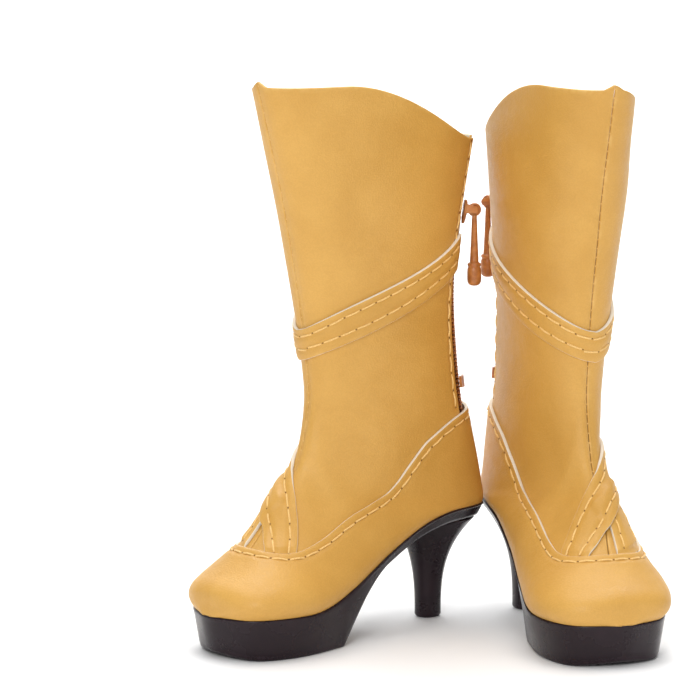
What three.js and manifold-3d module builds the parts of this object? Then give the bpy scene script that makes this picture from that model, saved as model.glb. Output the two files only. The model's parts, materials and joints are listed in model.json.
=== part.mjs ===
// A pair of doll's high-heeled platform boots, heels together and toes turned out.
// Units are millimetres, +Z is up and the treads stand on z = 0.
//
// Each boot is made in its own frame: +X points to the toe, +Y to the medial (inner) side of the
// foot, and the heel tip stands just in front of x = 0. The leather follows one lofted surface,
// read by a station (0 above the rim, 17 at the toe tip) and an angle round the section
// (0 on the front centre line, +90 on the medial side, 180 at the back or under the foot).

import * as THREE from 'three';
import { mergeVertices } from 'three/addons/utils/BufferGeometryUtils.js';
import Module from 'manifold-3d';

// ---------------------------------------------------------------- driving sizes
const RIM_HEIGHT = 104;           // front of the shaft, above the floor
const RIM_BACK_HEIGHT = 92;       // back of the shaft
const SEAM_PEAK = 0.9;            // how far the front seam stands above the rim
const LATERAL_DIP = 2.8;          // how far the rim dips on the outer side of the seam
const ANKLE_HEIGHT = 44.5;        // narrowest part of the shaft
const TOE_REACH = 56;             // heel axis to the toe tip, along the foot
const SHAFT_WIDTH = 1;            // factor on the shaft's half widths
const HEEL_SEAT_HEIGHT = 22;      // top of the sole under the heel
const PLATFORM_HEIGHT = 8;        // top of the sole under the ball and toes
const SHANK_THICKNESS = 2.7;      // sole between the heel and the platform
const PLATFORM_BACK = 31;         // rear bottom corner of the platform
const TOE_SPRING = 1.4;           // how far the tread lifts under the toe tip
const SOLE_TAPER = 1.1;           // how far the sole's sides lean in, top to tread
const HEEL_TIP_LENGTH = 5.0;
const HEEL_TIP_WIDTH = 4.5;
const HEEL_TIP_FORWARD = 1.7;     // heel tip centre, along X
const LEATHER = 0.65;
const CLEARANCE = 0.3;            // gap left between pieces that touch
const SOLE_GAP = 0.42;            // gap between the upper's lower edge and the sole
const BOARD_THICKNESS = 0.9;
const SOCK_THICKNESS = 0.4;
const STIFFENER_INSET = 1.7;      // insole board's edge inside the upper's lower edge
const CALF_STRAP_WIDTH = 5.9;
const CALF_STRAP_FRONT = 58.2;    // upper edge of the calf strap on the front seam
const CALF_STRAP_BACK = 75.2;     // upper edge of the calf strap beside the zip
const ZIP_OFFSET = 3.8;           // zip line, from the back centre towards the medial side
const ZIP_WINDOW = 3.4;           // width between the two leather edges
const ZIP_TAPE_WIDTH = 4.2;
const ZIP_TAPE_THICKNESS = 0.35;
const ZIP_TOOTH_WIDTH = 0.8;
const ZIP_TOOTH_HEIGHT = 0.75;
const SLIDER_HEIGHT = 78;         // where the slider rests
const SLIDER_LENGTH = 4.6;
const PULL_LENGTH = 14.5;
const PULL_RADIUS = 1.35;         // widest part, at the cup
const PULL_WIRE = 0.35;           // radius of the slider's bar and of the pull's eye

const RIGHT_TURN = 217.6;         // degrees about Z
const LEFT_TURN = -68.7;
const RIGHT_PLACE = [16.2, 0];
const LEFT_PLACE = [33.0, 7.8];

const FACET = 12;                 // degrees between leather facets round the section
const DEG = Math.PI / 180;

// ---------------------------------------------------------------- materials
const finish = (color, roughness, metalness = 0) => (
  new THREE.MeshStandardMaterial({ color, roughness, metalness }));
const TAN_LEATHER = finish('#d9a44a', 0.55);
const DARK_SOLE = finish('#2b1d25', 0.28);
const BOARD = finish('#c9b592', 0.9);
const SOCK = finish('#e6d9bb', 0.85);
const STIFFENER = finish('#d8ccb0', 0.8);
const ZIP_TAPE = finish('#c8913c', 0.8);
const PULL_BROWN = finish('#b5692f', 0.4);

// ---------------------------------------------------------------- the boot's surface
const mix = (from, to, share) => from + (to - from) * share;
const clamp = (value, low, high) => Math.min(high, Math.max(low, value));
const ease = (share) => (1 - Math.cos(Math.PI * clamp(share, 0, 1))) / 2;

// Heights on the shaft are shares of the rise from the ankle to the rim; lengths along the foot
// are shares of the toe reach.
const shaftZ = (share) => mix(ANKLE_HEIGHT, RIM_HEIGHT, share);
const reach = (share) => share * TOE_REACH;

// Top of the sole: level under the heel, then down the arch to the platform.
const ARCH_START = 0;
const ARCH_END = reach(0.75);
function bed(x) {
  const share = ease((x - ARCH_START) / (ARCH_END - ARCH_START));
  return mix(HEEL_SEAT_HEIGHT, PLATFORM_HEIGHT, share);
}
const overSeat = (rise) => HEEL_SEAT_HEIGHT + rise;
const overPlatform = (rise) => PLATFORM_HEIGHT + rise;
const UNDER_BED = 0.6;            // the section's lowest point lies this far below the sole's top

// Each station: its number, its front and back point (x, z), its half width, corner softness at the
// front and back of the section (1 is an ellipse, less is squarer), where the section is widest
// (share of the way from front to back) and how far its middle lies to the medial side.
const sunk = (x) => [x, bed(x) - UNDER_BED];
const STATIONS = [
  [0, [43.8, shaftZ(1.13)], [-12.4, shaftZ(1.1)], 9.6, [0.8, 0.8], 0.5, 0],
  [2, [37.2, shaftZ(0.71)], [-5.6, shaftZ(0.68)], 10.2, [0.8, 0.8], 0.5, 0],
  [3, [34.4, shaftZ(0.5)], [-3.4, shaftZ(0.47)], 9.4, [0.8, 0.78], 0.5, 0],
  [4, [32.3, shaftZ(0.31)], [-3.1, shaftZ(0.27)], 8.2, [0.8, 0.76], 0.5, 0],
  [5, [30.7, shaftZ(0.135)], [-4, shaftZ(0.085)], 7.6, [0.82, 0.74], 0.52, 0],
  [6, [30.3, shaftZ(0)], [-5.3, overSeat(18)], 7.3, [0.85, 0.72], 0.56, 0],
  [8, [32.6, overSeat(11.8)], [-8.3, overSeat(4.2)], 7, [0.85, 0.66], 0.62, 0],
  [9, [34.6, overSeat(8.4)], [-7.8, overSeat(0.1)], 7.5, [0.85, 0.56], 0.66, 0],
  [10, [36.9, overSeat(5.4)], sunk(-2), 8.3, [0.84, 0.48], 0.7, 0.2],
  [11, [39.4, overSeat(2.6)], sunk(8), 9.1, [0.83, 0.42], 0.72, 0.5],
  [12, [reach(0.753), overPlatform(13.4)], sunk(reach(0.33)), 10, [0.82, 0.4], 0.72, 1.1],
  [13, [reach(0.807), overPlatform(10.8)], sunk(reach(0.51)), 11.4, [0.82, 0.38], 0.7, 2],
  [14, [reach(0.864), overPlatform(8.5)], sunk(reach(0.67)), 12.7, [0.8, 0.38], 0.66, 2.9],
  [15, [reach(0.925), overPlatform(6)], sunk(reach(0.81)), 11.9, [0.78, 0.38], 0.62, 3.5],
  [16, [reach(0.972), overPlatform(3.6)], sunk(reach(0.925)), 8.6, [0.75, 0.4], 0.58, 3.7],
  [17, [TOE_REACH, overPlatform(0.9)], sunk(reach(0.99)), 1.3, [0.75, 0.45], 0.55, 3.7],
];
const SHAFT_STATIONS = 6;
const columnsOf = ([at, front, back, half, soft, widest, shift]) => [
  ...front, ...back, half * (at <= SHAFT_STATIONS ? SHAFT_WIDTH : 1), ...soft, widest, shift];
const KNOTS = STATIONS.map(([at]) => at);
const VALUES = STATIONS.map(columnsOf);
const LAST = KNOTS.at(-1);

// A smooth curve through unevenly spaced knots (cubic pieces, slopes from the neighbours).
function through(knots, values, where) {
  const last = knots.length - 1;
  const t = clamp(where, knots[0], knots[last]);
  let i = 0;
  while (i < last - 1 && t > knots[i + 1]) i += 1;
  const span = knots[i + 1] - knots[i];
  const u = (t - knots[i]) / span;
  const slope = (k) => {
    const low = Math.max(0, k - 1);
    const high = Math.min(last, k + 1);
    return (values[high] - values[low]) / (knots[high] - knots[low]);
  };
  const [p, q, m, n] = [values[i], values[i + 1], slope(i) * span, slope(i + 1) * span];
  return (2 * u ** 3 - 3 * u ** 2 + 1) * p + (u ** 3 - 2 * u ** 2 + u) * m
    + (3 * u ** 2 - 2 * u ** 3) * q + (u ** 3 - u ** 2) * n;
}

const stationValues = (station) => VALUES[0].map(
  (_, column) => through(KNOTS, VALUES.map((row) => row[column]), station));

function surface(station, angle) {
  const [fx, fz, bx, bz, half, frontSoft, backSoft, widest, shift] = stationValues(station);
  const turn = angle * DEG;
  const round = (1 - Math.cos(turn)) / 2;
  const along = round + (2 * widest - 1) * 2 * round * (1 - round);
  const side = Math.sin(turn);
  const y = half * Math.abs(side) ** mix(frontSoft, backSoft, round) * Math.sign(side) + shift;
  return new THREE.Vector3(mix(fx, bx, along), y, mix(fz, bz, along));
}

// The point standing `height` out of the surface, on its normal.
function lifted(station, angle, height) {
  const step = 0.02;
  const low = Math.min(station, LAST - step);
  const centre = surface(station, angle);
  const down = surface(low + step, angle).sub(surface(Math.max(0, low - step), angle));
  const around = surface(station, angle + 2).sub(surface(station, angle - 2));
  const normal = around.cross(down).normalize();
  return centre.addScaledVector(normal, -height);
}

// Bisection for the place between low and high where `value` changes sign.
function solve(value, low, high) {
  const sign = Math.sign(value(low)) || 1;
  let [a, b] = [low, high];
  for (let i = 0; i < 40; i += 1) {
    const middle = (a + b) / 2;
    if (Math.sign(value(middle)) === sign) a = middle;
    else b = middle;
  }
  return (a + b) / 2;
}

const stationAtHeight = (z, angle) => solve((s) => surface(s, angle).z - z, 0, 9);

// Angle on the back of the section, at a distance y from its middle towards the medial side.
function angleAtBack(station, y) {
  const turned = (angle) => surface(station, angle).y - y;
  return y >= 0 ? solve(turned, 100, 180) : solve(turned, 180, 260);
}

// ---------------------------------------------------------------- lines on the surface
const heightOver = (station, angle) => {
  const point = surface(station, angle);
  return point.z - bed(point.x);
};
// Where the upper meets the sole: a station for each share of the way from heel to toe.
const HEEL_END = solve((s) => heightOver(s, 180) - SOLE_GAP, 7.5, 10.5);
const featherStation = (share) => mix(HEEL_END, LAST, share ** 1.7);
const featherAngle = (station, rise = SOLE_GAP) => (
  station <= HEEL_END ? 180 : solve((angle) => heightOver(station, angle) - rise, 60, 180));

function rimStation(angle) {
  const away = Math.abs(angle);
  const dip = angle < 0 ? LATERAL_DIP * ease(away / 55) : 0;
  const height = mix(RIM_HEIGHT - dip, RIM_BACK_HEIGHT, ease((away - 62) / 90));
  const peak = SEAM_PEAK * Math.max(0, 1 - away / 8);
  return stationAtHeight(height + peak, angle);
}

// Upper edge of the vamp: across the toes, down each side and up to the back seam.
const VAMP_ANGLES = [0, 22, 40, 50, 55, 60, 68, 80, 95, 125, 180];
const VAMP_STATIONS = [13.1, 13.0, 12.6, 11.9, 11.05, 9.8, 8.6, 7.6, 6.85, 6.2, 5.85];
const vampStation = (angle) => through(VAMP_ANGLES, VAMP_STATIONS, Math.abs(angle));
const backOf = (angle) => (angle > 180 ? 360 - angle : angle);

// ---------------------------------------------------------------- building solids
function asGeometry(points, triangles) {
  const geometry = new THREE.BufferGeometry();
  const numbers = points.flatMap((p) => [p.x, p.y, p.z]);
  geometry.setAttribute('position', new THREE.Float32BufferAttribute(numbers, 3));
  geometry.setIndex(triangles.flat());
  return geometry;
}

function volumeOf(points, triangles) {
  const six = ([a, b, c]) => points[a].dot(new THREE.Vector3().crossVectors(points[b], points[c]));
  return triangles.reduce((sum, triangle) => sum + six(triangle), 0);
}

function facingOut(points, triangles) {
  const turned = volumeOf(points, triangles) < 0 ? triangles.map(([a, b, c]) => [a, c, b]) : triangles;
  return { points, triangles: turned };
}

const quad = (a, b, c, d) => [[a, b, c], [a, c, d]];

// A closed sheet between an outer and an inner grid of points, each [column][row].
function slab(outer, inner) {
  const [wide, deep] = [outer.length, outer[0].length];
  const [far, end] = [wide - 1, deep - 1];
  const points = [...outer.flat(), ...inner.flat()];
  const top = (i, j) => i * deep + j;
  const under = (i, j) => wide * deep + top(i, j);
  const triangles = [];
  for (let i = 0; i < far; i += 1) {
    for (let j = 0; j < end; j += 1) {
      triangles.push(...quad(top(i, j), top(i + 1, j), top(i + 1, j + 1), top(i, j + 1)));
      triangles.push(...quad(under(i, j), under(i, j + 1), under(i + 1, j + 1), under(i + 1, j)));
    }
    triangles.push(...quad(top(i, 0), under(i, 0), under(i + 1, 0), top(i + 1, 0)));
    triangles.push(...quad(top(i, end), top(i + 1, end), under(i + 1, end), under(i, end)));
  }
  for (let j = 0; j < end; j += 1) {
    triangles.push(...quad(top(0, j), top(0, j + 1), under(0, j + 1), under(0, j)));
    triangles.push(...quad(top(far, j), under(far, j), under(far, j + 1), top(far, j + 1)));
  }
  return facingOut(points, triangles);
}

const middleOf = (ring) => (
  ring.reduce((sum, p) => sum.add(p), new THREE.Vector3()).divideScalar(ring.length));

// A closed body through a row of rings, with a fan over each end. `hubOf` gives the fan's middle:
// a point that sees the whole ring.
function loft(rings, hubOf = middleOf) {
  const count = rings[0].length;
  const points = rings.flat();
  const triangles = [];
  for (let i = 0; i < rings.length - 1; i += 1) {
    for (let j = 0; j < count; j += 1) {
      const next = (j + 1) % count;
      triangles.push(...quad(i * count + j, i * count + next, (i + 1) * count + next, (i + 1) * count + j));
    }
  }
  const cap = (ring, first, flip) => {
    points.push(hubOf(ring));
    for (let j = 0; j < count; j += 1) {
      const edge = [first + j, first + (j + 1) % count];
      triangles.push(flip ? [points.length - 1, edge[1], edge[0]] : [points.length - 1, edge[0], edge[1]]);
    }
  };
  cap(rings[0], 0, true);
  cap(rings.at(-1), (rings.length - 1) * count, false);
  return facingOut(points, triangles);
}

const shares = (count) => Array.from({ length: count + 1 }, (_, i) => i / count);

// Angles from one end to the other, with the whole facets between them.
function facets(from, to, step = FACET) {
  const [low, high] = [Math.min(from, to), Math.max(from, to)];
  const margin = step * 0.25;
  const inner = [];
  for (let k = Math.ceil(low / step); k * step < high; k += 1) {
    if (k * step > low + margin && k * step < high - margin) inner.push(k * step);
  }
  return [low, ...inner, high];
}

// A sheet of leather: `place(a, b)` gives the station and the angle, `lift(a, b)` how far its inner
// face stands off the surface.
function leather(columns, rows, place, lift, thickness = LEATHER) {
  const grid = (extra) => columns.map((a) => rows.map((b) => {
    const [station, angle] = place(a, b);
    return lifted(station, angle, lift(a, b) + extra);
  }));
  return slab(grid(thickness), grid(0));
}

// ---------------------------------------------------------------- manifold joins and cuts
const wasm = await Module();
wasm.setup();

function toManifold(geometry) {
  const bare = geometry.index ? geometry.toNonIndexed() : geometry.clone();
  bare.deleteAttribute('normal');
  bare.deleteAttribute('uv');
  const merged = mergeVertices(bare, 1e-4);
  return new wasm.Manifold(new wasm.Mesh({
    numProp: 3,
    vertProperties: new Float32Array(merged.attributes.position.array),
    triVerts: new Uint32Array(merged.index.array),
  }));
}

function fromManifold(body) {
  const { vertProperties, triVerts } = body.getMesh();
  const points = [];
  for (let i = 0; i < vertProperties.length; i += 3) {
    points.push(new THREE.Vector3(...vertProperties.slice(i, i + 3)));
  }
  const triangles = [];
  for (let i = 0; i < triVerts.length; i += 3) triangles.push([...triVerts.slice(i, i + 3)]);
  return { points, triangles };
}

const joined = (geometries) => fromManifold(geometries.map(toManifold).reduce((all, one) => all.add(one)));

// ---------------------------------------------------------------- leather pieces
const SHAFT_ROWS = 18;
const SEAM_GAP = CLEARANCE;
const middleShift = (station) => stationValues(station)[8];
const seamAngle = (station) => solve(
  (angle) => surface(station, angle).y - middleShift(station) - SEAM_GAP / 2, 0, 40);
const zipEdge = (station, side) => angleAtBack(station, ZIP_OFFSET + side * ZIP_WINDOW / 2);
const SHAFT_UNDERLAP = 0.35;      // stations of shaft leather tucked under the vamp
const UNDERLAP_LIMIT = 13.5;
const shaftFoot = (angle) => Math.min(UNDERLAP_LIMIT, vampStation(backOf(Math.abs(angle))) + SHAFT_UNDERLAP);

const closer = (share) => share ** 0.85;   // rows closer together towards the instep

// Shaft panel from the front seam to its zip edge; side is +1 medial or -1 lateral. Every column
// is an angle and every row a share of the way from the rim to the foot.
function shaftPanel(side) {
  const reachBack = side > 0 ? 150 : 192;
  const columns = facets(0, reachBack);
  const place = (angle, share) => {
    const away = side * angle;
    const station = mix(rimStation(side * backOf(angle)), shaftFoot(angle), share);
    if (angle === 0) return [station, side * seamAngle(station)];
    if (angle !== reachBack) return [station, away];
    const edge = zipEdge(station, side);
    return [station, side > 0 ? edge : edge - 360];
  };
  return leather(columns, shares(SHAFT_ROWS).map(closer), place, () => -LEATHER);
}

const strapUpperHeight = (angle) => (
  mix(CALF_STRAP_FRONT, CALF_STRAP_BACK, clamp(angle / 158, 0, 1.1) ** 1.25));
const strapLowerHeight = (angle) => strapUpperHeight(angle)
  - CALF_STRAP_WIDTH * (1 + 0.17 * Math.sin(Math.min(angle, 120) * DEG) ** 2);

function calfStrap() {
  const columns = facets(-190, 150);
  const place = (angle, share) => {
    const away = backOf(Math.abs(angle));
    const height = mix(strapLowerHeight(away), strapUpperHeight(away), share);
    const station = stationAtHeight(height, angle);
    if (angle === columns[0]) return [station, zipEdge(station, -1) - 360];
    if (angle === columns.at(-1)) return [station, zipEdge(station, 1)];
    return [station, angle];
  };
  return leather(columns, shares(2), place, () => CLEARANCE);
}

const VAMP_COLUMNS = 22;
const VAMP_TOE_SHARE = 0.14;      // share of the columns that end on the toe tip
const BACK_SEAM_ANGLE = 179;
const VAMP_LIFT = CLEARANCE * 1.2;
const vampUpperAngle = (share) => BACK_SEAM_ANGLE * share ** 1.15;

function vamp() {
  const columns = shares(VAMP_COLUMNS * 2).map((t) => 2 * t - 1);
  const place = (a, b) => {
    const share = Math.abs(a);
    const side = Math.sign(a) || 1;
    const upper = vampUpperAngle(share);
    const toe = share < VAMP_TOE_SHARE;
    const back = (share - VAMP_TOE_SHARE) / (1 - VAMP_TOE_SHARE);
    const lowerStation = toe ? LAST : featherStation(1 - back);
    const lowerAngle = Math.min(BACK_SEAM_ANGLE, featherAngle(lowerStation));
    const lower = toe ? lowerAngle * share / VAMP_TOE_SHARE : lowerAngle;
    return [mix(vampStation(upper), lowerStation, b), side * mix(upper, lower, b)];
  };
  return leather(columns, shares(7), place, () => VAMP_LIFT);
}

// Straps over the instep. Each edge is a smooth line through stations at given shares of the way
// from the medial end to the lateral end; both ends stop just short of the vamp's edge.
const OVER_AT = [0, 0.15, 0.3, 0.45, 0.6, 0.75, 0.88, 1];
const OVER_UPPER = {
  at: OVER_AT,
  station: [12.35, 11.6, 10.75, 9.75, 8.75, 7.85, 7.25, 6.8],
  angle: [37.5, 31, 22.5, 13.5, 2, -13, -38, -86],
};
const OVER_LOWER = {
  at: OVER_AT,
  station: [12.75, 12.3, 11.8, 11.2, 10.5, 9.75, 9, 8.15],
  angle: [14, 8, 2, -6, -16, -29, -46, -67],
};
const UNDER_AT = [0, 0.5, 1];
const UNDER_MEDIAL = { at: UNDER_AT, station: [10.3, 11.5, 12.75], angle: [3, -2, -5] };
const UNDER_LATERAL = { at: UNDER_AT, station: [9.2, 10.8, 12.2], angle: [-18, -31, -41] };
const onLine = (line, share) => [through(line.at, line.station, share), through(line.at, line.angle, share)];
const STRAP_STEP = LEATHER + CLEARANCE;
const STRAP_LIFT = CLEARANCE * 1.2;

function strapBetween(first, second, columns, rows, lift) {
  const place = (a, b) => {
    const [p, q] = [onLine(first, a), onLine(second, a)];
    return [mix(p[0], q[0], b), mix(p[1], q[1], b)];
  };
  return leather(shares(columns), shares(rows), place, lift);
}
const crossing = (a) => ease((a - 0.02) / 0.14) * ease((0.86 - a) / 0.2);
const overLift = (a) => STRAP_LIFT + STRAP_STEP * 1.1 * crossing(a);
const overStrap = () => strapBetween(OVER_UPPER, OVER_LOWER, 20, 5, overLift);
const underStrap = () => strapBetween(UNDER_MEDIAL, UNDER_LATERAL, 10, 6, () => STRAP_LIFT);

function toePuff() {
  const place = (share, turn) => {
    const station = mix(14.1, 15.8, share);
    return [station, turn * (featherAngle(station) - 24)];
  };
  const turns = shares(12).map((t) => 2 * t - 1);
  return leather(shares(5), turns, place, () => -LEATHER - CLEARANCE * 1.5);
}

function heelCounter() {
  const place = (angle, share) => {
    const bottom = solve((s) => heightOver(s, angle) - 3 * SOLE_GAP, 7.2, 11);
    const top = shaftFoot(angle) + 0.25;
    return [mix(top, bottom - 0.15, share), angle];
  };
  return leather(facets(114, 246), shares(4), place, () => -LEATHER);
}

// ---------------------------------------------------------------- sole, heel and insole
const shankUnder = (x) => bed(x) - SHANK_THICKNESS;
const BREAK_START = PLATFORM_BACK - 12;
const PLATFORM_DEPTH = shankUnder(PLATFORM_BACK);
function tread(x) {
  const spring = TOE_SPRING * Math.max(0, (x - reach(0.89)) / reach(0.11)) ** 2;
  if (x >= PLATFORM_BACK) return spring;
  const drop = PLATFORM_DEPTH * Math.max(0, (x - BREAK_START) / (PLATFORM_BACK - BREAK_START)) ** 1.6;
  return shankUnder(x) - drop;
}

// The lower edge of the upper as pairs of plan points, lateral and medial, heel to toe.
function featherPlan(count, inset) {
  const edge = shares(count).map((t) => {
    const station = featherStation(mix(0.012, 1, t));
    const point = surface(station, featherAngle(station));
    const shift = middleShift(station);
    return { x: point.x, half: point.y - shift, shift };
  });
  return edge.map((here, i) => {
    const before = edge[Math.max(0, i - 1)];
    const after = edge[Math.min(count, i + 1)];
    const run = new THREE.Vector2(after.x - before.x, after.half - before.half).normalize();
    const half = Math.max(0.4, here.half - inset * Math.abs(run.x));
    return { x: here.x + inset * run.y, half, shift: here.shift };
  });
}

const SOLE_STEPS = 26;
const EDGE_ROUND = 0.7;           // softening where the sole's side meets the tread
function platformSole() {
  const top = featherPlan(SOLE_STEPS, 0);
  const side = featherPlan(SOLE_STEPS, SOLE_TAPER * 0.75);
  const foot = featherPlan(SOLE_STEPS, SOLE_TAPER + EDGE_ROUND * 0.6);
  const level = ({ x }) => (x >= PLATFORM_BACK ? tread(x) : Math.max(tread(x), 0));
  const rings = top.map((_, i) => {
    const [t, s, f] = [top[i], side[i], foot[i]];
    const at = (p, across, z) => new THREE.Vector3(p.x, p.shift + across * p.half, z);
    const low = level(f);
    const soft = Math.min(EDGE_ROUND, (bed(f.x) - low) * 0.25);
    return [
      at(t, -1, bed(t.x)), at(t, 0, bed(t.x)), at(t, 1, bed(t.x)),
      at(s, 1, level(s) + soft), at(f, 1, low), at(f, 0, low), at(f, -1, low), at(s, -1, level(s) + soft),
    ];
  });
  return loft(rings);
}

const HEEL_SEGMENTS = 20;
const HEEL_TOP_BACK = -7.9;
const HEEL_TOP_FRONT = 7.8;
const HEEL_TOP_HALF = 6.5;
function heelBlock() {
  const levels = [0, 0.22, 0.42, 0.58, 0.72, 0.84, 0.93, 1];
  const rings = levels.map((share) => {
    const spread = share ** 3;
    const length = mix(HEEL_TIP_LENGTH / 2, (HEEL_TOP_FRONT - HEEL_TOP_BACK) / 2, spread);
    const half = mix(HEEL_TIP_WIDTH / 2, HEEL_TOP_HALF, spread);
    const centre = mix(HEEL_TIP_FORWARD, (HEEL_TOP_FRONT + HEEL_TOP_BACK) / 2, share ** 4);
    return Array.from({ length: HEEL_SEGMENTS }, (_, j) => {
      const turn = (2 * Math.PI * j) / HEEL_SEGMENTS;
      const bend = (value) => Math.sign(value) * Math.abs(value) ** 0.88;
      const x = centre + length * bend(Math.cos(turn));
      return new THREE.Vector3(x, half * bend(Math.sin(turn)), share * (shankUnder(x) - CLEARANCE));
    });
  });
  return loft(rings);
}

function plate(inset, bottom, thickness, from, to) {
  const plan = featherPlan(20, inset).slice(from, to);
  const layer = (rise) => plan.map((p) => [-1, 0, 1].map(
    (across) => new THREE.Vector3(p.x, p.shift + across * p.half, bed(p.x) + rise)));
  return slab(layer(bottom + thickness), layer(bottom));
}
const BOARD_BOTTOM = CLEARANCE;
const SOCK_BOTTOM = BOARD_BOTTOM + BOARD_THICKNESS + CLEARANCE;
const insoleBoard = () => plate(STIFFENER_INSET, BOARD_BOTTOM, BOARD_THICKNESS, 1, 20);
const sockLining = () => plate(STIFFENER_INSET, SOCK_BOTTOM, SOCK_THICKNESS, 1, 20);

// ---------------------------------------------------------------- zip
const ZIP_TOP_MARGIN = 0.12;      // stations below the rim
const ZIP_BOTTOM = 5.62;
const ZIP_LAYER = -LEATHER - CLEARANCE - ZIP_TAPE_THICKNESS;
const TOOTH_GAP = CLEARANCE / 2;

// The angle reached by walking `distance` round the section from the zip line, side +1 medial.
function besideZip(station, side, distance) {
  const step = -0.5 * side;
  let angle = angleAtBack(station, ZIP_OFFSET);
  let here = surface(station, angle);
  let left = distance;
  for (;;) {
    const next = surface(station, angle + step);
    const length = next.distanceTo(here);
    if (length >= left) return angle + step * left / length;
    left -= length;
    here = next;
    angle += step;
  }
}

function zipTape(side) {
  const top = rimStation(160) + ZIP_TOP_MARGIN;
  const section = [
    [TOOTH_GAP, ZIP_LAYER], [TOOTH_GAP + ZIP_TAPE_WIDTH, ZIP_LAYER],
    [TOOTH_GAP + ZIP_TAPE_WIDTH, ZIP_LAYER + ZIP_TAPE_THICKNESS],
    [TOOTH_GAP + ZIP_TOOTH_WIDTH, ZIP_LAYER + ZIP_TAPE_THICKNESS],
    [TOOTH_GAP + ZIP_TOOTH_WIDTH, ZIP_LAYER + ZIP_TAPE_THICKNESS + ZIP_TOOTH_HEIGHT],
    [TOOTH_GAP, ZIP_LAYER + ZIP_TAPE_THICKNESS + ZIP_TOOTH_HEIGHT],
  ];
  const rings = shares(14).map((t) => {
    const station = mix(top, ZIP_BOTTOM, t);
    return section.map(([across, height]) => (
      lifted(station, besideZip(station, side, across), height)));
  });
  return loft(rings, (ring) => ring[0].clone().lerp(ring[3], 0.5));
}

// The zip line at a height: a point on the surface and the directions out of it and down it.
function zipFrame(height) {
  const onLineAt = (z) => {
    const station = solve((s) => surface(s, angleAtBack(s, ZIP_OFFSET)).z - z, 0.2, 7);
    const angle = angleAtBack(station, ZIP_OFFSET);
    return { point: surface(station, angle), out: lifted(station, angle, 1).sub(surface(station, angle)) };
  };
  const here = onLineAt(height);
  const above = onLineAt(height + SLIDER_LENGTH / 2).point;
  const down = onLineAt(height - SLIDER_LENGTH / 2).point.sub(above).normalize();
  const across = new THREE.Vector3().crossVectors(here.out, down).normalize();
  const out = new THREE.Vector3().crossVectors(down, across).normalize();
  return new THREE.Matrix4().makeBasis(across, out, down).setPosition(here.point);
}

const SLIDER_BASE = 0.2;          // slider's underside above the leather's surface
const SLIDER_PLATE = 0.6;
const SLIDER_WIDTH = ZIP_WINDOW - 2 * CLEARANCE;
const EYE_RADIUS = PULL_WIRE * 2 + 0.25;
const BAR_HEIGHT = SLIDER_BASE + SLIDER_PLATE + EYE_RADIUS + PULL_WIRE + 0.25;
const BAR_DOWN = -0.6;            // bar above the slider's middle
const CHEEK = 0.45;

function barCylinder(radius, length) {
  return new THREE.CylinderGeometry(radius, radius, length, 14).rotateZ(Math.PI / 2);
}

// Slider: a plate over the teeth, two cheeks and the bar that carries the pull. In its own frame
// X runs across the zip, Y out of the leather and Z down the zip.
function zipSlider() {
  const outline = new THREE.Shape();
  const [w, l, nose] = [SLIDER_WIDTH / 2, SLIDER_LENGTH / 2, SLIDER_WIDTH * 0.28];
  outline.moveTo(-w + 0.4, -l);
  outline.lineTo(w - 0.4, -l);
  outline.quadraticCurveTo(w, -l, w, -l + 0.5);
  outline.lineTo(w, 0.4);
  outline.lineTo(nose, l);
  outline.lineTo(-nose, l);
  outline.lineTo(-w, 0.4);
  outline.lineTo(-w, -l + 0.5);
  outline.quadraticCurveTo(-w, -l, -w + 0.4, -l);
  const flat = { depth: SLIDER_PLATE, bevelEnabled: false, curveSegments: 4 };
  const base = new THREE.ExtrudeGeometry(outline, flat);
  base.rotateX(Math.PI / 2).translate(0, SLIDER_BASE + SLIDER_PLATE, 0);
  const cheek = (side) => {
    const rise = BAR_HEIGHT - SLIDER_BASE - SLIDER_PLATE / 2;
    const box = new THREE.BoxGeometry(CHEEK, rise, PULL_WIRE * 3);
    return box.translate(side * (w - CHEEK / 2), SLIDER_BASE + SLIDER_PLATE / 2 + rise / 2, BAR_DOWN);
  };
  const cap = (side) => new THREE.CylinderGeometry(PULL_WIRE * 2, PULL_WIRE * 2, CHEEK, 14)
    .rotateZ(Math.PI / 2).translate(side * (w - CHEEK / 2), BAR_HEIGHT, BAR_DOWN);
  const bar = barCylinder(PULL_WIRE, SLIDER_WIDTH - CHEEK).translate(0, BAR_HEIGHT, BAR_DOWN);
  const { points, triangles } = joined([base, cheek(1), cheek(-1), cap(1), cap(-1), bar]);
  const frame = zipFrame(SLIDER_HEIGHT);
  return facingOut(points.map((p) => p.applyMatrix4(frame)), triangles);
}

const pullPivot = () => new THREE.Vector3(0, BAR_HEIGHT, BAR_DOWN).applyMatrix4(zipFrame(SLIDER_HEIGHT));

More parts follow.
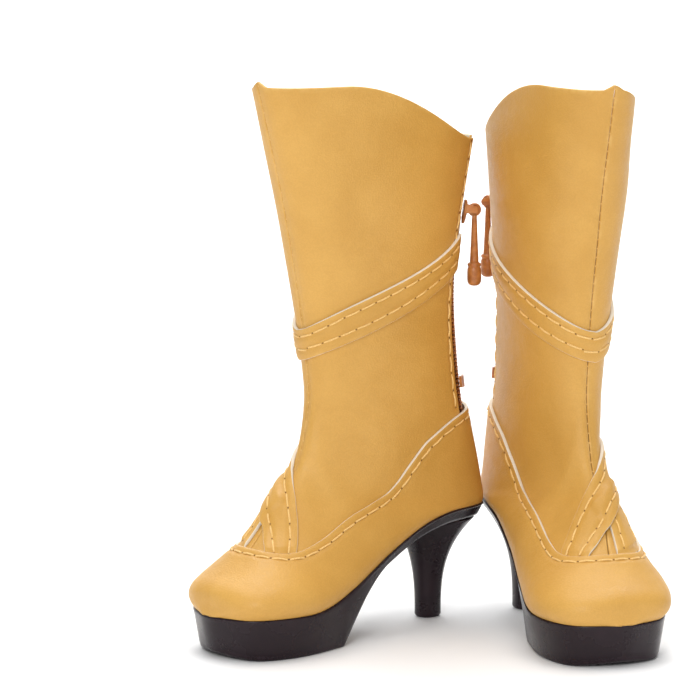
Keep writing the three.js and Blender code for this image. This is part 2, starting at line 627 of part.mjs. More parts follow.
// Pull: an eye round the bar, then a slender drop with a collar and a rounded cup, hanging
// straight down from the bar.
function zipPull() {
  const eye = new THREE.TorusGeometry(EYE_RADIUS, PULL_WIRE, 8, 18).rotateY(Math.PI / 2);
  const neck = -EYE_RADIUS;
  const collar = -PULL_LENGTH * 0.7;
  const profile = [
    [0, neck], [0.45, neck], [0.5, neck - 0.8], [0.85, collar], [1.15, collar - 0.1],
    [1.2, collar - 0.7], [0.95, collar - 0.9], [PULL_RADIUS, collar - 1.6],
    [PULL_RADIUS, -PULL_LENGTH + 0.9], [PULL_RADIUS * 0.72, -PULL_LENGTH + 0.2], [0, -PULL_LENGTH],
  ].reverse();
  const outline = profile.map(([r, z]) => new THREE.Vector2(r, z));
  const drop = new THREE.LatheGeometry(outline, 14).rotateX(Math.PI / 2);
  const { points, triangles } = joined([eye, drop]);
  const across = new THREE.Vector3().setFromMatrixColumn(zipFrame(SLIDER_HEIGHT), 0).setZ(0).normalize();
  const out = new THREE.Vector3().crossVectors(across, new THREE.Vector3(0, 0, 1));
  const up = new THREE.Vector3(0, 0, 1);
  const frame = new THREE.Matrix4().makeBasis(across, out, up).setPosition(pullPivot());
  return facingOut(points.map((p) => p.applyMatrix4(frame)), triangles);
}

const STOP_THICKNESS = 0.5;
function zipStop() {
  const station = ZIP_BOTTOM - 0.32;
  const columns = [-1, 0, 1];
  const place = (a, b) => {
    const s = station + 0.22 * b;
    return [s, angleAtBack(s, ZIP_OFFSET + a * SLIDER_WIDTH * 0.4)];
  };
  const overTeeth = ZIP_LAYER + ZIP_TAPE_THICKNESS + ZIP_TOOTH_HEIGHT + CLEARANCE;
  return leather(columns, [0, 1], place, () => overTeeth, STOP_THICKNESS);
}

// ---------------------------------------------------------------- the pair
const PIECES = {
  platform_sole: [platformSole(), DARK_SOLE],
  heel_block: [heelBlock(), DARK_SOLE],
  insole_board: [insoleBoard(), BOARD],
  sock_lining: [sockLining(), SOCK],
  toe_puff: [toePuff(), STIFFENER],
  heel_counter: [heelCounter(), STIFFENER],
  vamp: [vamp(), TAN_LEATHER],
  shaft_medial: [shaftPanel(1), TAN_LEATHER],
  shaft_lateral: [shaftPanel(-1), TAN_LEATHER],
  calf_strap: [calfStrap(), TAN_LEATHER],
  instep_strap_over: [overStrap(), TAN_LEATHER],
  instep_strap_under: [underStrap(), TAN_LEATHER],
  zip_tape_medial: [zipTape(1), ZIP_TAPE],
  zip_tape_lateral: [zipTape(-1), ZIP_TAPE],
  zip_stop: [zipStop(), PULL_BROWN],
  zip_slider: [zipSlider(), PULL_BROWN],
  zip_pull: [zipPull(), PULL_BROWN],
};

// One boot; the left one is the mirror image of the right one about its own middle.
function boot(prefix, mirrored, turn, [x, y]) {
  const group = new THREE.Group();
  for (const [name, [{ points, triangles }, material]] of Object.entries(PIECES)) {
    const placed = points.map((p) => new THREE.Vector3(p.x, mirrored ? -p.y : p.y, p.z));
    const body = facingOut(placed, triangles);
    const mesh = new THREE.Mesh(asGeometry(body.points, body.triangles), material);
    mesh.name = `${prefix}_${name}`;
    group.add(mesh);
  }
  group.rotation.z = turn * DEG;
  group.position.set(x, y, 0);
  return group;
}

const pair = new THREE.Group();
pair.add(boot('right', false, RIGHT_TURN, RIGHT_PLACE));
pair.add(boot('left', true, LEFT_TURN, LEFT_PLACE));

// The origin is the middle of the pair's box, on the floor.
pair.updateMatrixWorld(true);
const box = new THREE.Box3().setFromObject(pair, true);
const middle = box.getCenter(new THREE.Vector3());
pair.position.set(-middle.x, -middle.y, -box.min.z);
pair.updateMatrixWorld(true);

export default pair;
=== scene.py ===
"""A pair of doll's high-heeled platform boots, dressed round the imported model.

Sizes are millimetres in a boot's own frame (+X to the toe, +Y to the inner side of the foot, the
heel tip just in front of x = 0) until a mesh is placed, and metres from then on.
"""

import json
import logging
import math
from dataclasses import dataclass, field
from enum import Enum
from typing import Callable, Sequence

import bpy
import numpy as np
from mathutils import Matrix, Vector
from mathutils.kdtree import KDTree


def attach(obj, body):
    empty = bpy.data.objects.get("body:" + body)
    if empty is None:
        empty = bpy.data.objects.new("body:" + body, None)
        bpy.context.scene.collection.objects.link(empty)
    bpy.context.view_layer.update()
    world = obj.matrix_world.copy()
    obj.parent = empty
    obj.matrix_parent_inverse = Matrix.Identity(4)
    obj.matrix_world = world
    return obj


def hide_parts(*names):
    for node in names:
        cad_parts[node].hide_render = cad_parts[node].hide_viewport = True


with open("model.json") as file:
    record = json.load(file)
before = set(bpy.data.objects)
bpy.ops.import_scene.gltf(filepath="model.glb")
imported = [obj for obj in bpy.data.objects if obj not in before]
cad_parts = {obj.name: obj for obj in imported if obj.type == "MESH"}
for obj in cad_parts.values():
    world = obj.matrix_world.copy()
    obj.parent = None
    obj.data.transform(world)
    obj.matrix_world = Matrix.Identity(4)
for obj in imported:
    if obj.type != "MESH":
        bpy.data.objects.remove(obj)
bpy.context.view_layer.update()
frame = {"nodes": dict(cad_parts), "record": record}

LOG = logging.getLogger("boots")
MM = 0.001
Array = np.ndarray
Faces = list[tuple[int, ...]]
Field = Callable[[Array], Array]


# ---- small sums
def mix(start: float, end: float, share: Array) -> Array:
    """Returns the value at a share of the way from start to end."""
    return start + (end - start) * share


def ease(share: Array) -> Array:
    """Returns a soft step from 0 to 1 as share goes from 0 to 1."""
    return (1 - np.cos(np.pi * np.clip(share, 0, 1))) / 2


def unit(vectors: Array) -> Array:
    """Returns the vectors at length 1."""
    return vectors / np.maximum(np.linalg.norm(vectors, axis=-1, keepdims=True), 1e-12)


def through(knots: Sequence[float], values: Sequence, where: Array) -> Array:
    """Reads a smooth curve through unevenly spaced knots.

    Args:
        knots: Where each value stands, rising.
        values: One number or one row of numbers for each knot.
        where: The places to read.

    Returns:
        The values there, with a last axis more where values has rows.
    """
    at = np.asarray(knots, float)
    table = np.asarray(values, float)
    last = len(at) - 1
    low = np.maximum(np.arange(last + 1) - 1, 0)
    high = np.minimum(np.arange(last + 1) + 1, last)
    run = (at[high] - at[low]).reshape((-1,) + (1,) * (table.ndim - 1))
    slopes = (table[high] - table[low]) / run
    place = np.clip(np.asarray(where, float), at[0], at[-1])
    i = np.clip(np.searchsorted(at, place, side="right") - 1, 0, last - 1)
    span = at[i + 1] - at[i]
    u = (place - at[i]) / span
    if table.ndim > 1:
        u, span = u[..., None], span[..., None]
    return ((2 * u**3 - 3 * u**2 + 1) * table[i] + (u**3 - 2 * u**2 + u) * slopes[i] * span
            + (3 * u**2 - 2 * u**3) * table[i + 1] + (u**3 - u**2) * slopes[i + 1] * span)


def solve(value: Field, low: Array, high: Array) -> Array:
    """Finds by halving where value changes sign between low and high.

    Args:
        value: The function, working on whole arrays.
        low: One end for each place sought.
        high: The other end.

    Returns:
        The places.
    """
    low, high = np.array(low, float), np.array(high, float)
    sign = np.where(value(low) >= 0, 1, -1)
    for _ in range(36):
        middle = (low + high) / 2
        same = np.where(value(middle) >= 0, 1, -1) == sign
        low, high = np.where(same, middle, low), np.where(same, high, middle)
    return (low + high) / 2


def lengths_along(line: Array) -> Array:
    """Returns the length from a line's start to each of its points."""
    return np.concatenate([[0], np.linalg.norm(np.diff(line, axis=0), axis=1).cumsum()])


def read_at(at: Array, along: Array, rows: Array) -> Array:
    """Returns rows of numbers read at places between those that they belong to."""
    return np.stack([np.interp(at, along, column) for column in rows.T], 1)


def circle(count: int) -> Array:
    """Returns the angles of points spaced evenly round a circle, in radians."""
    return np.linspace(0, 2 * np.pi, count, endpoint=False)


# ---- objects in the scene
def add_object(name: str, data: bpy.types.ID) -> bpy.types.Object:
    """Puts a new object in the scene.

    Args:
        name: Its name.
        data: The mesh, lamp or camera that it holds.

    Returns:
        The object.
    """
    obj = bpy.data.objects.new(name, data)
    bpy.context.scene.collection.objects.link(obj)
    return obj


def settle(piece: bpy.types.Object, body: str, node: str = "") -> None:
    """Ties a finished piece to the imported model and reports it.

    Args:
        piece: The piece.
        body: The body that it rides on.
        node: The CAD node that it stands for, if there is one.
    """
    if node:
        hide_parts(node)
    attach(piece, body)
    LOG.info("%s: %d faces", piece.name, len(piece.data.polygons))


# ---- the boot's shape
@dataclass(frozen=True)
class BootShape:
    """The surface that the leather follows, read by station and angle, and the lines on it."""

    rim_height: float = 104.0
    rim_back_height: float = 92.0
    seam_peak: float = 0.9
    ankle_height: float = 44.5
    toe_reach: float = 56.0
    seat: float = 22.0
    platform: float = 8.0
    arch_share: float = 0.75
    under_bed: float = 0.6
    leather: float = 0.65
    clearance: float = 0.3
    strap_width: float = 5.9
    strap_front: float = 58.2
    strap_back: float = 75.2
    zip_offset: float = 3.8
    zip_window: float = 3.4
    last: float = 17.0
    lateral_drop: float = 2.8
    vamp_angles: tuple = (0, 22, 40, 50, 55, 60, 68, 80, 95, 125, 180)
    vamp_stations: tuple = (13.1, 13.0, 12.6, 11.9, 11.05, 9.8, 8.6, 7.6, 6.85, 6.2, 5.85)

    def bed(self, x: Array) -> Array:
        """Returns the height of the sole's top at x."""
        return mix(self.seat, self.platform, ease(x / (self.toe_reach * self.arch_share)))

    def table(self) -> tuple[list[float], list[list[float]]]:
        """Lists the sections that the surface runs through.

        Returns:
            The stations, rising, and for each one its front's x and z, its back's x and z, half its
            width, how round its front and its back are, how far back it is widest, and its shift to
            the inner side.
        """
        def shaft(share: float) -> float:
            """Returns a height on the shaft, share 0 at the ankle and 1 at the rim."""
            return mix(self.ankle_height, self.rim_height, share)

        def reach(share: float) -> float:
            """Returns a share of the length to the toe."""
            return share * self.toe_reach

        def sunk(x: float) -> list[float]:
            """Returns the x and z of a point just under the sole's top."""
            return [x, float(self.bed(np.float64(x))) - self.under_bed]

        seat, top = self.seat, self.platform
        rows = {
            0: [43.8, shaft(1.13), -12.4, shaft(1.1), 9.6, 0.8, 0.8, 0.5, 0],
            2: [37.2, shaft(0.71), -5.6, shaft(0.68), 10.2, 0.8, 0.8, 0.5, 0],
            3: [34.4, shaft(0.5), -3.4, shaft(0.47), 9.4, 0.8, 0.78, 0.5, 0],
            4: [32.3, shaft(0.31), -3.1, shaft(0.27), 8.2, 0.8, 0.76, 0.5, 0],
            5: [30.7, shaft(0.135), -4, shaft(0.085), 7.6, 0.82, 0.74, 0.52, 0],
            6: [30.3, shaft(0), -5.3, seat + 18, 7.3, 0.85, 0.72, 0.56, 0],
            8: [32.6, seat + 11.8, -8.3, seat + 4.2, 7, 0.85, 0.66, 0.62, 0],
            9: [34.6, seat + 8.4, -7.8, seat + 0.1, 7.5, 0.85, 0.56, 0.66, 0],
            10: [36.9, seat + 5.4, *sunk(-2), 8.3, 0.84, 0.48, 0.7, 0.2],
            11: [39.4, seat + 2.6, *sunk(8), 9.1, 0.83, 0.42, 0.72, 0.5],
            12: [reach(0.753), top + 13.4, *sunk(reach(0.33)), 10, 0.82, 0.4, 0.72, 1.1],
            13: [reach(0.807), top + 10.8, *sunk(reach(0.51)), 11.4, 0.82, 0.38, 0.7, 2],
            14: [reach(0.864), top + 8.5, *sunk(reach(0.67)), 12.7, 0.8, 0.38, 0.66, 2.9],
            15: [reach(0.925), top + 6, *sunk(reach(0.81)), 11.9, 0.78, 0.38, 0.62, 3.5],
            16: [reach(0.972), top + 3.6, *sunk(reach(0.925)), 8.6, 0.75, 0.4, 0.58, 3.7],
            17: [reach(1), top + 0.9, *sunk(reach(0.99)), 1.3, 0.75, 0.45, 0.55, 3.7],
        }
        return list(rows), list(rows.values())

    def values(self, station: Array) -> Array:
        """Returns the row of sizes at each station."""
        return through(*self.table(), station)

    def surface(self, station: Array, angle: Array) -> Array:
        """Returns the point at a station and an angle (0 in front, +90 on the inner side).

        Args:
            station: 0 above the rim to 17 at the toe tip.
            angle: Degrees round the section.

        Returns:
            Points with x, y, z on the last axis.
        """
        station, angle = np.broadcast_arrays(np.asarray(station, float), np.asarray(angle, float))
        row = self.values(station)
        turn = np.radians(angle)
        round_ = (1 - np.cos(turn)) / 2
        along = round_ + (2 * row[..., 7] - 1) * 2 * round_ * (1 - round_)
        side = np.sin(turn)
        soft = mix(row[..., 5], row[..., 6], round_)
        y = row[..., 4] * np.abs(side) ** soft * np.sign(side) + row[..., 8]
        x = mix(row[..., 0], row[..., 2], along)
        z = mix(row[..., 1], row[..., 3], along)
        return np.stack([x, y, z], -1)

    def normal(self, station: Array, angle: Array) -> Array:
        """Finds the outward direction at a station and an angle.

        Args:
            station: 0 above the rim to 17 at the toe tip.
            angle: Degrees round the section.

        Returns:
            Vectors of length 1.
        """
        step = 0.02
        low = np.minimum(station, self.last - step)
        down = self.surface(low + step, angle) - self.surface(np.maximum(0, low - step), angle)
        around = self.surface(station, angle + 2) - self.surface(station, angle - 2)
        return -unit(np.cross(around, down))

    def lifted(self, station: Array, angle: Array, height: Array) -> Array:
        """Returns the point standing height out of the surface."""
        out = self.normal(station, angle)
        return self.surface(station, angle) + out * np.asarray(height)[..., None]

    def station_at(self, height: Array, angle: Array) -> Array:
        """Returns the station where the surface has a height, at each angle."""
        low = np.zeros_like(angle, dtype=float)
        return solve(lambda s: self.surface(s, angle)[..., 2] - height, low, low + 9)

    def angle_behind(self, station: Array, y: float) -> Array:
        """Returns the angle on the back of the section at a distance y from the middle."""
        low = np.full_like(station, 100.0 if y >= 0 else 180.0, dtype=float)
        return solve(lambda a: self.surface(station, a)[..., 1] - y, low, low + 80)

    def zip_edge(self, station: Array, side: int) -> Array:
        """Returns the angle of the leather's edge beside the zip, side +1 inner, -1 outer."""
        return self.angle_behind(station, self.zip_offset + side * self.zip_window / 2)

    def beside_zip(self, station: Array, side: int, distance: float) -> Array:
        """Returns the angle at a distance along the leather from the zip line.

        Args:
            station: Where along the boot.
            side: +1 to the inner side, -1 to the outer side.
            distance: Millimetres along the section.

        Returns:
            One angle for each station.
        """
        steps = np.arange(0, 90, 0.5)
        start = self.angle_behind(station, self.zip_offset)
        angles = start[..., None] - side * steps
        points = self.surface(station[..., None], angles)
        lengths = np.linalg.norm(np.diff(points, axis=-2), axis=-1).cumsum(-1)
        lengths = np.concatenate([np.zeros(lengths.shape[:-1] + (1,)), lengths], -1)
        found = [np.interp(distance, line, row) for line, row in
                 zip(lengths.reshape(-1, len(steps)), angles.reshape(-1, len(steps)))]
        return np.array(found).reshape(station.shape)

    def rim_station(self, angle: Array) -> Array:
        """Finds the shaft's top edge, which dips on the outer side behind the front seam.

        Args:
            angle: Degrees round the section, below 0 on the outer side.

        Returns:
            One station for each angle.
        """
        away = np.abs(angle)
        dip = np.where(angle < 0, self.lateral_drop * ease(away / 55), 0.0)
        height = mix(self.rim_height - dip, self.rim_back_height, ease((away - 62) / 90))
        peak = self.seam_peak * np.maximum(0, 1 - away / 8)
        return self.station_at(height + peak, np.abs(angle))

    def vamp_station(self, angle: Array) -> Array:
        """Returns the station of the vamp's upper edge."""
        return through(self.vamp_angles, self.vamp_stations, np.abs(angle))

    def feather_angle(self, station: Array, rise: float) -> Array:
        """Finds where the upper comes down to the sole.

        Args:
            station: 0 above the rim to 17 at the toe tip.
            rise: Millimetres above the sole's top.

        Returns:
            One angle for each station.
        """
        low = np.full_like(station, 60.0, dtype=float)

        def over(angle: Array) -> Array:
            """Returns how far the surface is above the rise."""
            point = self.surface(station, angle)
            return point[..., 2] - self.bed(point[..., 0]) - rise

        return solve(over, low, low + 120)

    def heel_end(self, rise: float) -> float:
        """Finds where the back of the heel meets the sole.

        Args:
            rise: Millimetres above the sole's top.

        Returns:
            The station.
        """
        def over(station: Array) -> Array:
            """Returns how far the heel's back is above the rise."""
            point = self.surface(station, np.full_like(station, 180.0))
            return point[..., 2] - self.bed(point[..., 0]) - rise

        return float(solve(over, np.array([7.5]), np.array([10.5]))[0])

    def feather_station(self, share: Array, rise: float) -> Array:
        """Returns the station of the upper's lower edge, share 0 at the heel and 1 at the toe."""
        return mix(self.heel_end(rise), self.last, share**1.7)


SHAPE = BootShape()


def behind(angle: Array) -> Array:
    """Returns an angle folded back to 0 to 180."""
    return np.where(angle > 180, 360 - angle, angle)


# ---- where each boot stands
class Side(Enum):
    """The two boots of the pair."""

    RIGHT = "right"
    LEFT = "left"

    @property
    def mirror(self) -> int:
        """Returns -1 for the left boot, whose shape is the right one's mirror image."""
        return -1 if self is Side.LEFT else 1


@dataclass(frozen=True)
class Stand:
    """Puts a boot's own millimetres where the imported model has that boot."""

    side: Side
    tread_point: tuple[float, float] = (42.0, 3.2)
    heel_point: tuple[float, float] = (1.7, 0.0)

    def _mount(self, name: str) -> Array:
        """Returns a mount's place in metres."""
        named = {mount["name"]: mount["pos_m"] for mount in frame["record"]["mounts"]}
        return np.array(named[f"{self.side.value}_{name}"])

    def turn(self) -> Array:
        """Works out the turn and mirror from the boot's frame to the pair's.

        Returns:
            A 3 x 3 matrix for column vectors.
        """
        flip = self.side.mirror
        ahead = self._mount("tread") - self._mount("heel_tip")
        own = np.subtract(self.tread_point, self.heel_point) * [1, flip]
        angle = math.atan2(ahead[1], ahead[0]) - math.atan2(own[1], own[0])
        c, s = math.cos(angle), math.sin(angle)
        return np.array([[c, -s * flip, 0], [s, c * flip, 0], [0, 0, 1]])

    def place(self, points: Array) -> Array:
        """Puts points where the boot stands.

        Args:
            points: Millimetres in the boot's frame.

        Returns:
            Metres in the pair's frame.
        """
        turn = self.turn()
        heel = np.array([*self.heel_point, 0])
        return (points - heel) @ turn.T * MM + self._mount("heel_tip")

    def direct(self, vectors: Array) -> Array:
        """Returns directions in the pair's frame."""
        return vectors @ self.turn().T


# ---- node trees and finishes
def link(tree: bpy.types.NodeTree, source: object, target: object) -> None:
    """Joins a node's first output, or a socket, to a socket."""
    socket = source.outputs[0] if isinstance(source, bpy.types.Node) else source
    tree.links.new(socket, target)


def calculate(tree: bpy.types.NodeTree, what: str, first: object, second: object) -> object:
    """Adds a math node.

    Args:
        tree: The tree that gets it.
        what: The operation.
        first: A number or a socket.
        second: Another, left alone by an operation on one value.

    Returns:
        The result's socket.
    """
    node = tree.nodes.new("ShaderNodeMath")
    node.operation = what
    for socket, value in zip(node.inputs, (first, second)):
        if isinstance(value, (int, float)):
            socket.default_value = value
        else:
            link(tree, value, socket)
    return node.outputs[0]


class Shader:
    """A material's node tree, with short calls for the nodes that the finishes share."""

    def __init__(self, name: str) -> None:
        """Starts a material with one Principled shader.

        Args:
            name: The material's name.
        """
        self.material = bpy.data.materials.new(name)
        self.material.use_nodes = True
        self.tree = self.material.node_tree
        self.tree.nodes.clear()
        self.output = self.tree.nodes.new("ShaderNodeOutputMaterial")
        self.base = self.tree.nodes.new("ShaderNodeBsdfPrincipled")
        self.join(self.base, self.output.inputs["Surface"])
        self.coords = self.tree.nodes.new("ShaderNodeTexCoord").outputs["Object"]

    def join(self, source: object, target: object) -> None:
        """Joins two sockets."""
        link(self.tree, source, target)

    def feed(self, name: str, source: object) -> None:
        """Joins a source to one of the shader's inputs."""
        self.join(source, self.base.inputs[name])

    def set(self, **values: float) -> None:
        """Sets constants on the shader; an underscore stands for a space in a socket's name."""
        for name, value in values.items():
            self.base.inputs[name.replace("_", " ")].default_value = value

    def noise(self, scale: float, detail: float = 3.0, rough: float = 0.55,
              vector: object = None, warp: float = 0.0) -> object:
        """Returns a noise value between 0 and 1.

        Args:
            scale: Waves in a metre.
            detail: Octaves.
            rough: How strong the finer octaves are.
            vector: Where to read it, the object's own coordinates if left out.
            warp: Distortion.

        Returns:
            The noise's value socket.
        """
        node = self.tree.nodes.new("ShaderNodeTexNoise")
        for name, value in (("Scale", scale), ("Detail", detail), ("Roughness", rough),
                            ("Distortion", warp)):
            node.inputs[name].default_value = value
        self.join(vector or self.coords, node.inputs["Vector"])
        return node.outputs[0]

    def cells(self, scale: float, feature: str, vector: object = None) -> object:
        """Adds a pattern of cells.

        Args:
            scale: Cells in a metre.
            feature: F1, or DISTANCE_TO_EDGE for the lines between cells.
            vector: Where to read it, the object's own coordinates if left out.

        Returns:
            The distance's socket.
        """
        node = self.tree.nodes.new("ShaderNodeTexVoronoi")
        node.feature = feature
        node.inputs["Scale"].default_value = scale
        self.join(vector or self.coords, node.inputs["Vector"])
        return node.outputs["Distance"]

    def waves(self, scale: float, axis: str, warp: float = 0.0) -> object:
        """Adds sine bands across one axis.

        Args:
            scale: How fine the bands are.
            axis: X, Y or Z.
            warp: Distortion.

        Returns:
            A value between 0 and 1.
        """
        node = self.tree.nodes.new("ShaderNodeTexWave")
        node.bands_direction = axis
        node.inputs["Scale"].default_value = scale
        node.inputs["Distortion"].default_value = warp
        self.join(self.coords, node.inputs["Vector"])
        return node.outputs["Fac"]

    def attribute(self, name: str) -> object:
        """Reads a mesh attribute.

        Args:
            name: The attribute's name.

        Returns:
            Its value's socket.
        """
        node = self.tree.nodes.new("ShaderNodeAttribute")
        node.attribute_name = name
        return node.outputs["Fac"]

    def math(self, what: str, first: object, second: object = 0.0) -> object:
        """Returns a sum, product or other operation on two values or sockets."""
        return calculate(self.tree, what, first, second)

    def spread(self, value: object, low: float, high: float,
               to: tuple[float, float] = (0.0, 1.0)) -> object:
        """Stretches a value smoothly to a new range.

        Args:
            value: A socket.
            low: The value that gives the range's start.
            high: The value that gives its end.
            to: The range.

        Returns:
            The stretched value's socket.
        """
        node = self.tree.nodes.new("ShaderNodeMapRange")
        node.interpolation_type = "SMOOTHSTEP"
        for name, number in zip(("From Min", "From Max", "To Min", "To Max"), (low, high, *to)):
            node.inputs[name].default_value = number
        self.join(value, node.inputs["Value"])
        return node.outputs["Result"]

    def blend(self, share: object, first: object, second: object) -> object:
        """Mixes two colours.

        Args:
            share: A socket, 0 for the first and 1 for the second.
            first: A colour or a socket.
            second: Another.

        Returns:
            The colour's socket.
        """
        node = self.tree.nodes.new("ShaderNodeMix")
        node.data_type = "RGBA"
        self.join(share, node.inputs["Factor"])
        for name, value in (("A", first), ("B", second)):
            socket = next(s for s in node.inputs if s.name == name and s.type == "RGBA")
            if isinstance(value, tuple):
                socket.default_value = (*value, 1.0)
            else:
                self.join(value, socket)
        return next(s for s in node.outputs if s.type == "RGBA")

    def warped(self, scale: float, amount: float) -> object:
        """Pushes the object's coordinates about by a noise.

        Args:
            scale: The noise's waves in a metre.
            amount: How far it pushes, in metres.

        Returns:
            The coordinates' socket.
        """
        node = self.tree.nodes.new("ShaderNodeTexNoise")
        node.inputs["Scale"].default_value = scale
        self.join(self.coords, node.inputs["Vector"])
        push = self.tree.nodes.new("ShaderNodeVectorMath")
        push.operation = "MULTIPLY_ADD"
        self.join(node.outputs["Color"], push.inputs[0])
        push.inputs[1].default_value = (amount,) * 3
        self.join(self.coords, push.inputs[2])
        return push.outputs[0]

    def bump(self, height: object, depth: float, strength: float = 1.0) -> None:
        """Gives the surface its fine relief.

        Args:
            height: A socket, 0 to 1.
            depth: The height of 1, in metres.
            strength: How much of it shows.
        """
        node = self.tree.nodes.new("ShaderNodeBump")
        node.inputs["Distance"].default_value = depth
        node.inputs["Strength"].default_value = strength
        self.join(height, node.inputs["Height"])
        self.join(node, self.base.inputs["Normal"])


Colour = tuple[float, float, float]


@dataclass(frozen=True)
class GrainedLeather:
    """Soft coated leather: pebbled face with painted shade in the hollows between the pebbles, cream
    raw edges and a pale knitted back.
    """

    face: Colour = (0.650, 0.362, 0.082)
    shade: Colour = (0.565, 0.300, 0.058)
    rubbed: Colour = (0.71, 0.44, 0.14)
    edge: Colour = (0.86, 0.79, 0.66)
    back: Colour = (0.74, 0.66, 0.52)
    pebble: float = 3000.0

    def make(self) -> bpy.types.Material:
        """Makes the finish.

        Returns:
            The material, which reads the mesh attributes layer and rub.
        """
        s = Shader("tan_leather_finish")
        where = s.warped(1900, 0.0003)
        pebbles = s.spread(s.cells(self.pebble, "F1", where), 0.05, 0.75)
        wrinkles = s.noise(1500, 3, 0.55, warp=0.5)
        broad = s.noise(230, 3, 0.6)
        patches = s.noise(45, 4, 0.6, warp=0.4)
        layer = s.attribute("layer")
        cut = s.spread(layer, 0.3, 0.7)
        lining = s.spread(layer, 1.3, 1.7)
        tone = s.blend(s.spread(patches, 0.30, 0.72), self.shade, self.face)
        # Painted shade: the hollows between the pebbles, which sit low in the bump, are darkened
        # towards a deep tone of the leather.
        painted_hollow_shade = s.math("MULTIPLY", s.spread(pebbles, 0.45, 1.0), 0.10)
        creased = s.blend(painted_hollow_shade, tone, tuple(c * 0.66 for c in self.shade))
        worn = s.math("MULTIPLY", s.attribute("rub"), s.spread(s.noise(420, 4), 0.35, 0.75))
        face = s.blend(worn, creased, self.rubbed)
        fibres = s.noise(4200, 4, 0.7)
        edge = s.blend(fibres, tuple(c * 0.85 for c in self.edge), self.edge)
        knit = s.math("MULTIPLY", s.waves(900, "X", 1.0), s.waves(1100, "Z", 1.0))
        back = s.blend(knit, tuple(c * 0.74 for c in self.back), self.back)
        s.feed("Base Color", s.blend(lining, s.blend(cut, face, edge), back))
        gloss = s.spread(s.noise(700, 4, 0.65), 0.3, 0.7, (0.40, 0.52))
        s.feed("Roughness", s.math("MAXIMUM", gloss, s.math("MULTIPLY", cut, 0.85)))
        relief = s.math("SUBTRACT", s.math("MULTIPLY", wrinkles, 0.8),
                        s.math("MULTIPLY", pebbles, 0.45))
        relief = s.math("ADD", relief, s.math("MULTIPLY", broad, 0.9))
        s.bump(relief, 0.00007, 0.7)
        s.set(Specular_IOR_Level=0.38)
        return s.material


@dataclass(frozen=True)
class Thread:
    """Pale yellow sewing thread, with painted highlight and painted shade on its twisted plies."""

    light: Colour = (0.90, 0.62, 0.24)
    dark: Colour = (0.72, 0.43, 0.12)

    def make(self) -> bpy.types.Material:
        """Makes the finish.

        Returns:
            The material.
        """
        s = Shader("thread_finish")
        plies = s.noise(5200, 2, 0.5, warp=0.6)
        # Painted highlight and shade: the noise that raises the plies in the bump also lightens them,
        # so the grooves between plies are darker.
        s.feed("Base Color", s.blend(s.spread(plies, 0.3, 0.7), self.dark, self.light))
        s.feed("Roughness", s.spread(plies, 0.3, 0.7, (0.5, 0.75)))
        s.bump(plies, 0.00004, 0.6)
        s.set(Sheen_Weight=0.15, Sheen_Roughness=0.5)
        return s.material


@dataclass(frozen=True)
class MouldedSole:
    """Glossy dark plum-brown plastic, with a faint mould texture and rubbed corners."""

    body: Colour = (0.012, 0.005, 0.008)
    haze: Colour = (0.030, 0.016, 0.022)

    def make(self) -> bpy.types.Material:
        """Makes the finish.

        Returns:
            The material, which reads the mesh attribute rub.
        """
        s = Shader("dark_sole_finish")
        clouds = s.noise(140, 4, 0.6)
        scuffs = s.noise(1500, 5, 0.75, warp=1.2)
        rubs = s.math("MULTIPLY", s.attribute("rub"), s.spread(scuffs, 0.45, 0.7))
        share = s.math("ADD", s.math("MULTIPLY", s.spread(clouds, 0.4, 0.8), 0.35), rubs)
        s.feed("Base Color", s.blend(share, self.body, self.haze))
        dull = s.spread(clouds, 0.3, 0.75, (0.22, 0.34))
        s.feed("Roughness", s.math("ADD", dull, s.math("MULTIPLY", rubs, 0.3)))
        peel = s.math("ADD", s.noise(900, 2), s.math("MULTIPLY", scuffs, 0.2))
        s.bump(peel, 0.00005, 0.35)
        s.set(Specular_IOR_Level=0.26)
        return s.material


@dataclass(frozen=True)
class Fibrous:
    """A matt sheet of fibres, for boards, linings and stiffeners."""

    name: str
    light: Colour
    dark: Colour
    grain: float = 2600.0

    def make(self) -> bpy.types.Material:
        """Makes the finish.

        Returns:
            The material.
        """
        s = Shader(self.name)
        fibres = s.noise(self.grain, 5, 0.75, warp=1.5)
        clouds = s.noise(190, 3)
        share = s.math("MULTIPLY", s.spread(fibres, 0.3, 0.7), s.spread(clouds, 0.2, 0.8, (0.6, 1)))
        s.feed("Base Color", s.blend(share, self.dark, self.light))
        s.feed("Roughness", s.spread(fibres, 0.3, 0.7, (0.75, 0.92)))
        s.bump(fibres, 0.0001, 0.6)
        return s.material


@dataclass(frozen=True)
class WovenTape:
    """Plain-woven zip tape."""

    light: Colour = (0.60, 0.31, 0.065)
    dark: Colour = (0.33, 0.15, 0.03)
    threads: float = 1500.0

    def make(self) -> bpy.types.Material:
        """Makes the finish.

        Returns:
            The material.
        """
        s = Shader("zip_tape_finish")
        weft = s.waves(self.threads, "Z", 0.3)
        warp = s.math("MULTIPLY", s.waves(self.threads, "X", 0.3), s.waves(self.threads, "Y", 0.3))
        weave = s.math("MAXIMUM", weft, warp)
        s.feed("Base Color", s.blend(weave, self.dark, self.light))
        s.feed("Roughness", s.spread(s.noise(700, 3), 0.3, 0.7, (0.7, 0.88)))
        s.bump(weave, 0.00012, 0.8)
        return s.material


@dataclass(frozen=True)
class BrownPlastic:
    """Satin orange-brown plastic of the zip's teeth, slider and pull."""

    light: Colour = (0.56, 0.22, 0.055)
    dark: Colour = (0.36, 0.12, 0.028)

    def make(self) -> bpy.types.Material:
        """Makes the finish.

        Returns:
            The material.
        """
        s = Shader("zip_brown_finish")
        clouds = s.noise(480, 4, 0.65, warp=0.8)
        s.feed("Base Color", s.blend(s.spread(clouds, 0.3, 0.72), self.dark, self.light))
        s.feed("Roughness", s.spread(s.noise(1600, 3), 0.3, 0.7, (0.28, 0.42)))
        s.bump(s.noise(2600, 3), 0.00005, 0.4)
        s.set(Subsurface_Weight=0.08, Subsurface_Scale=0.001)
        return s.material


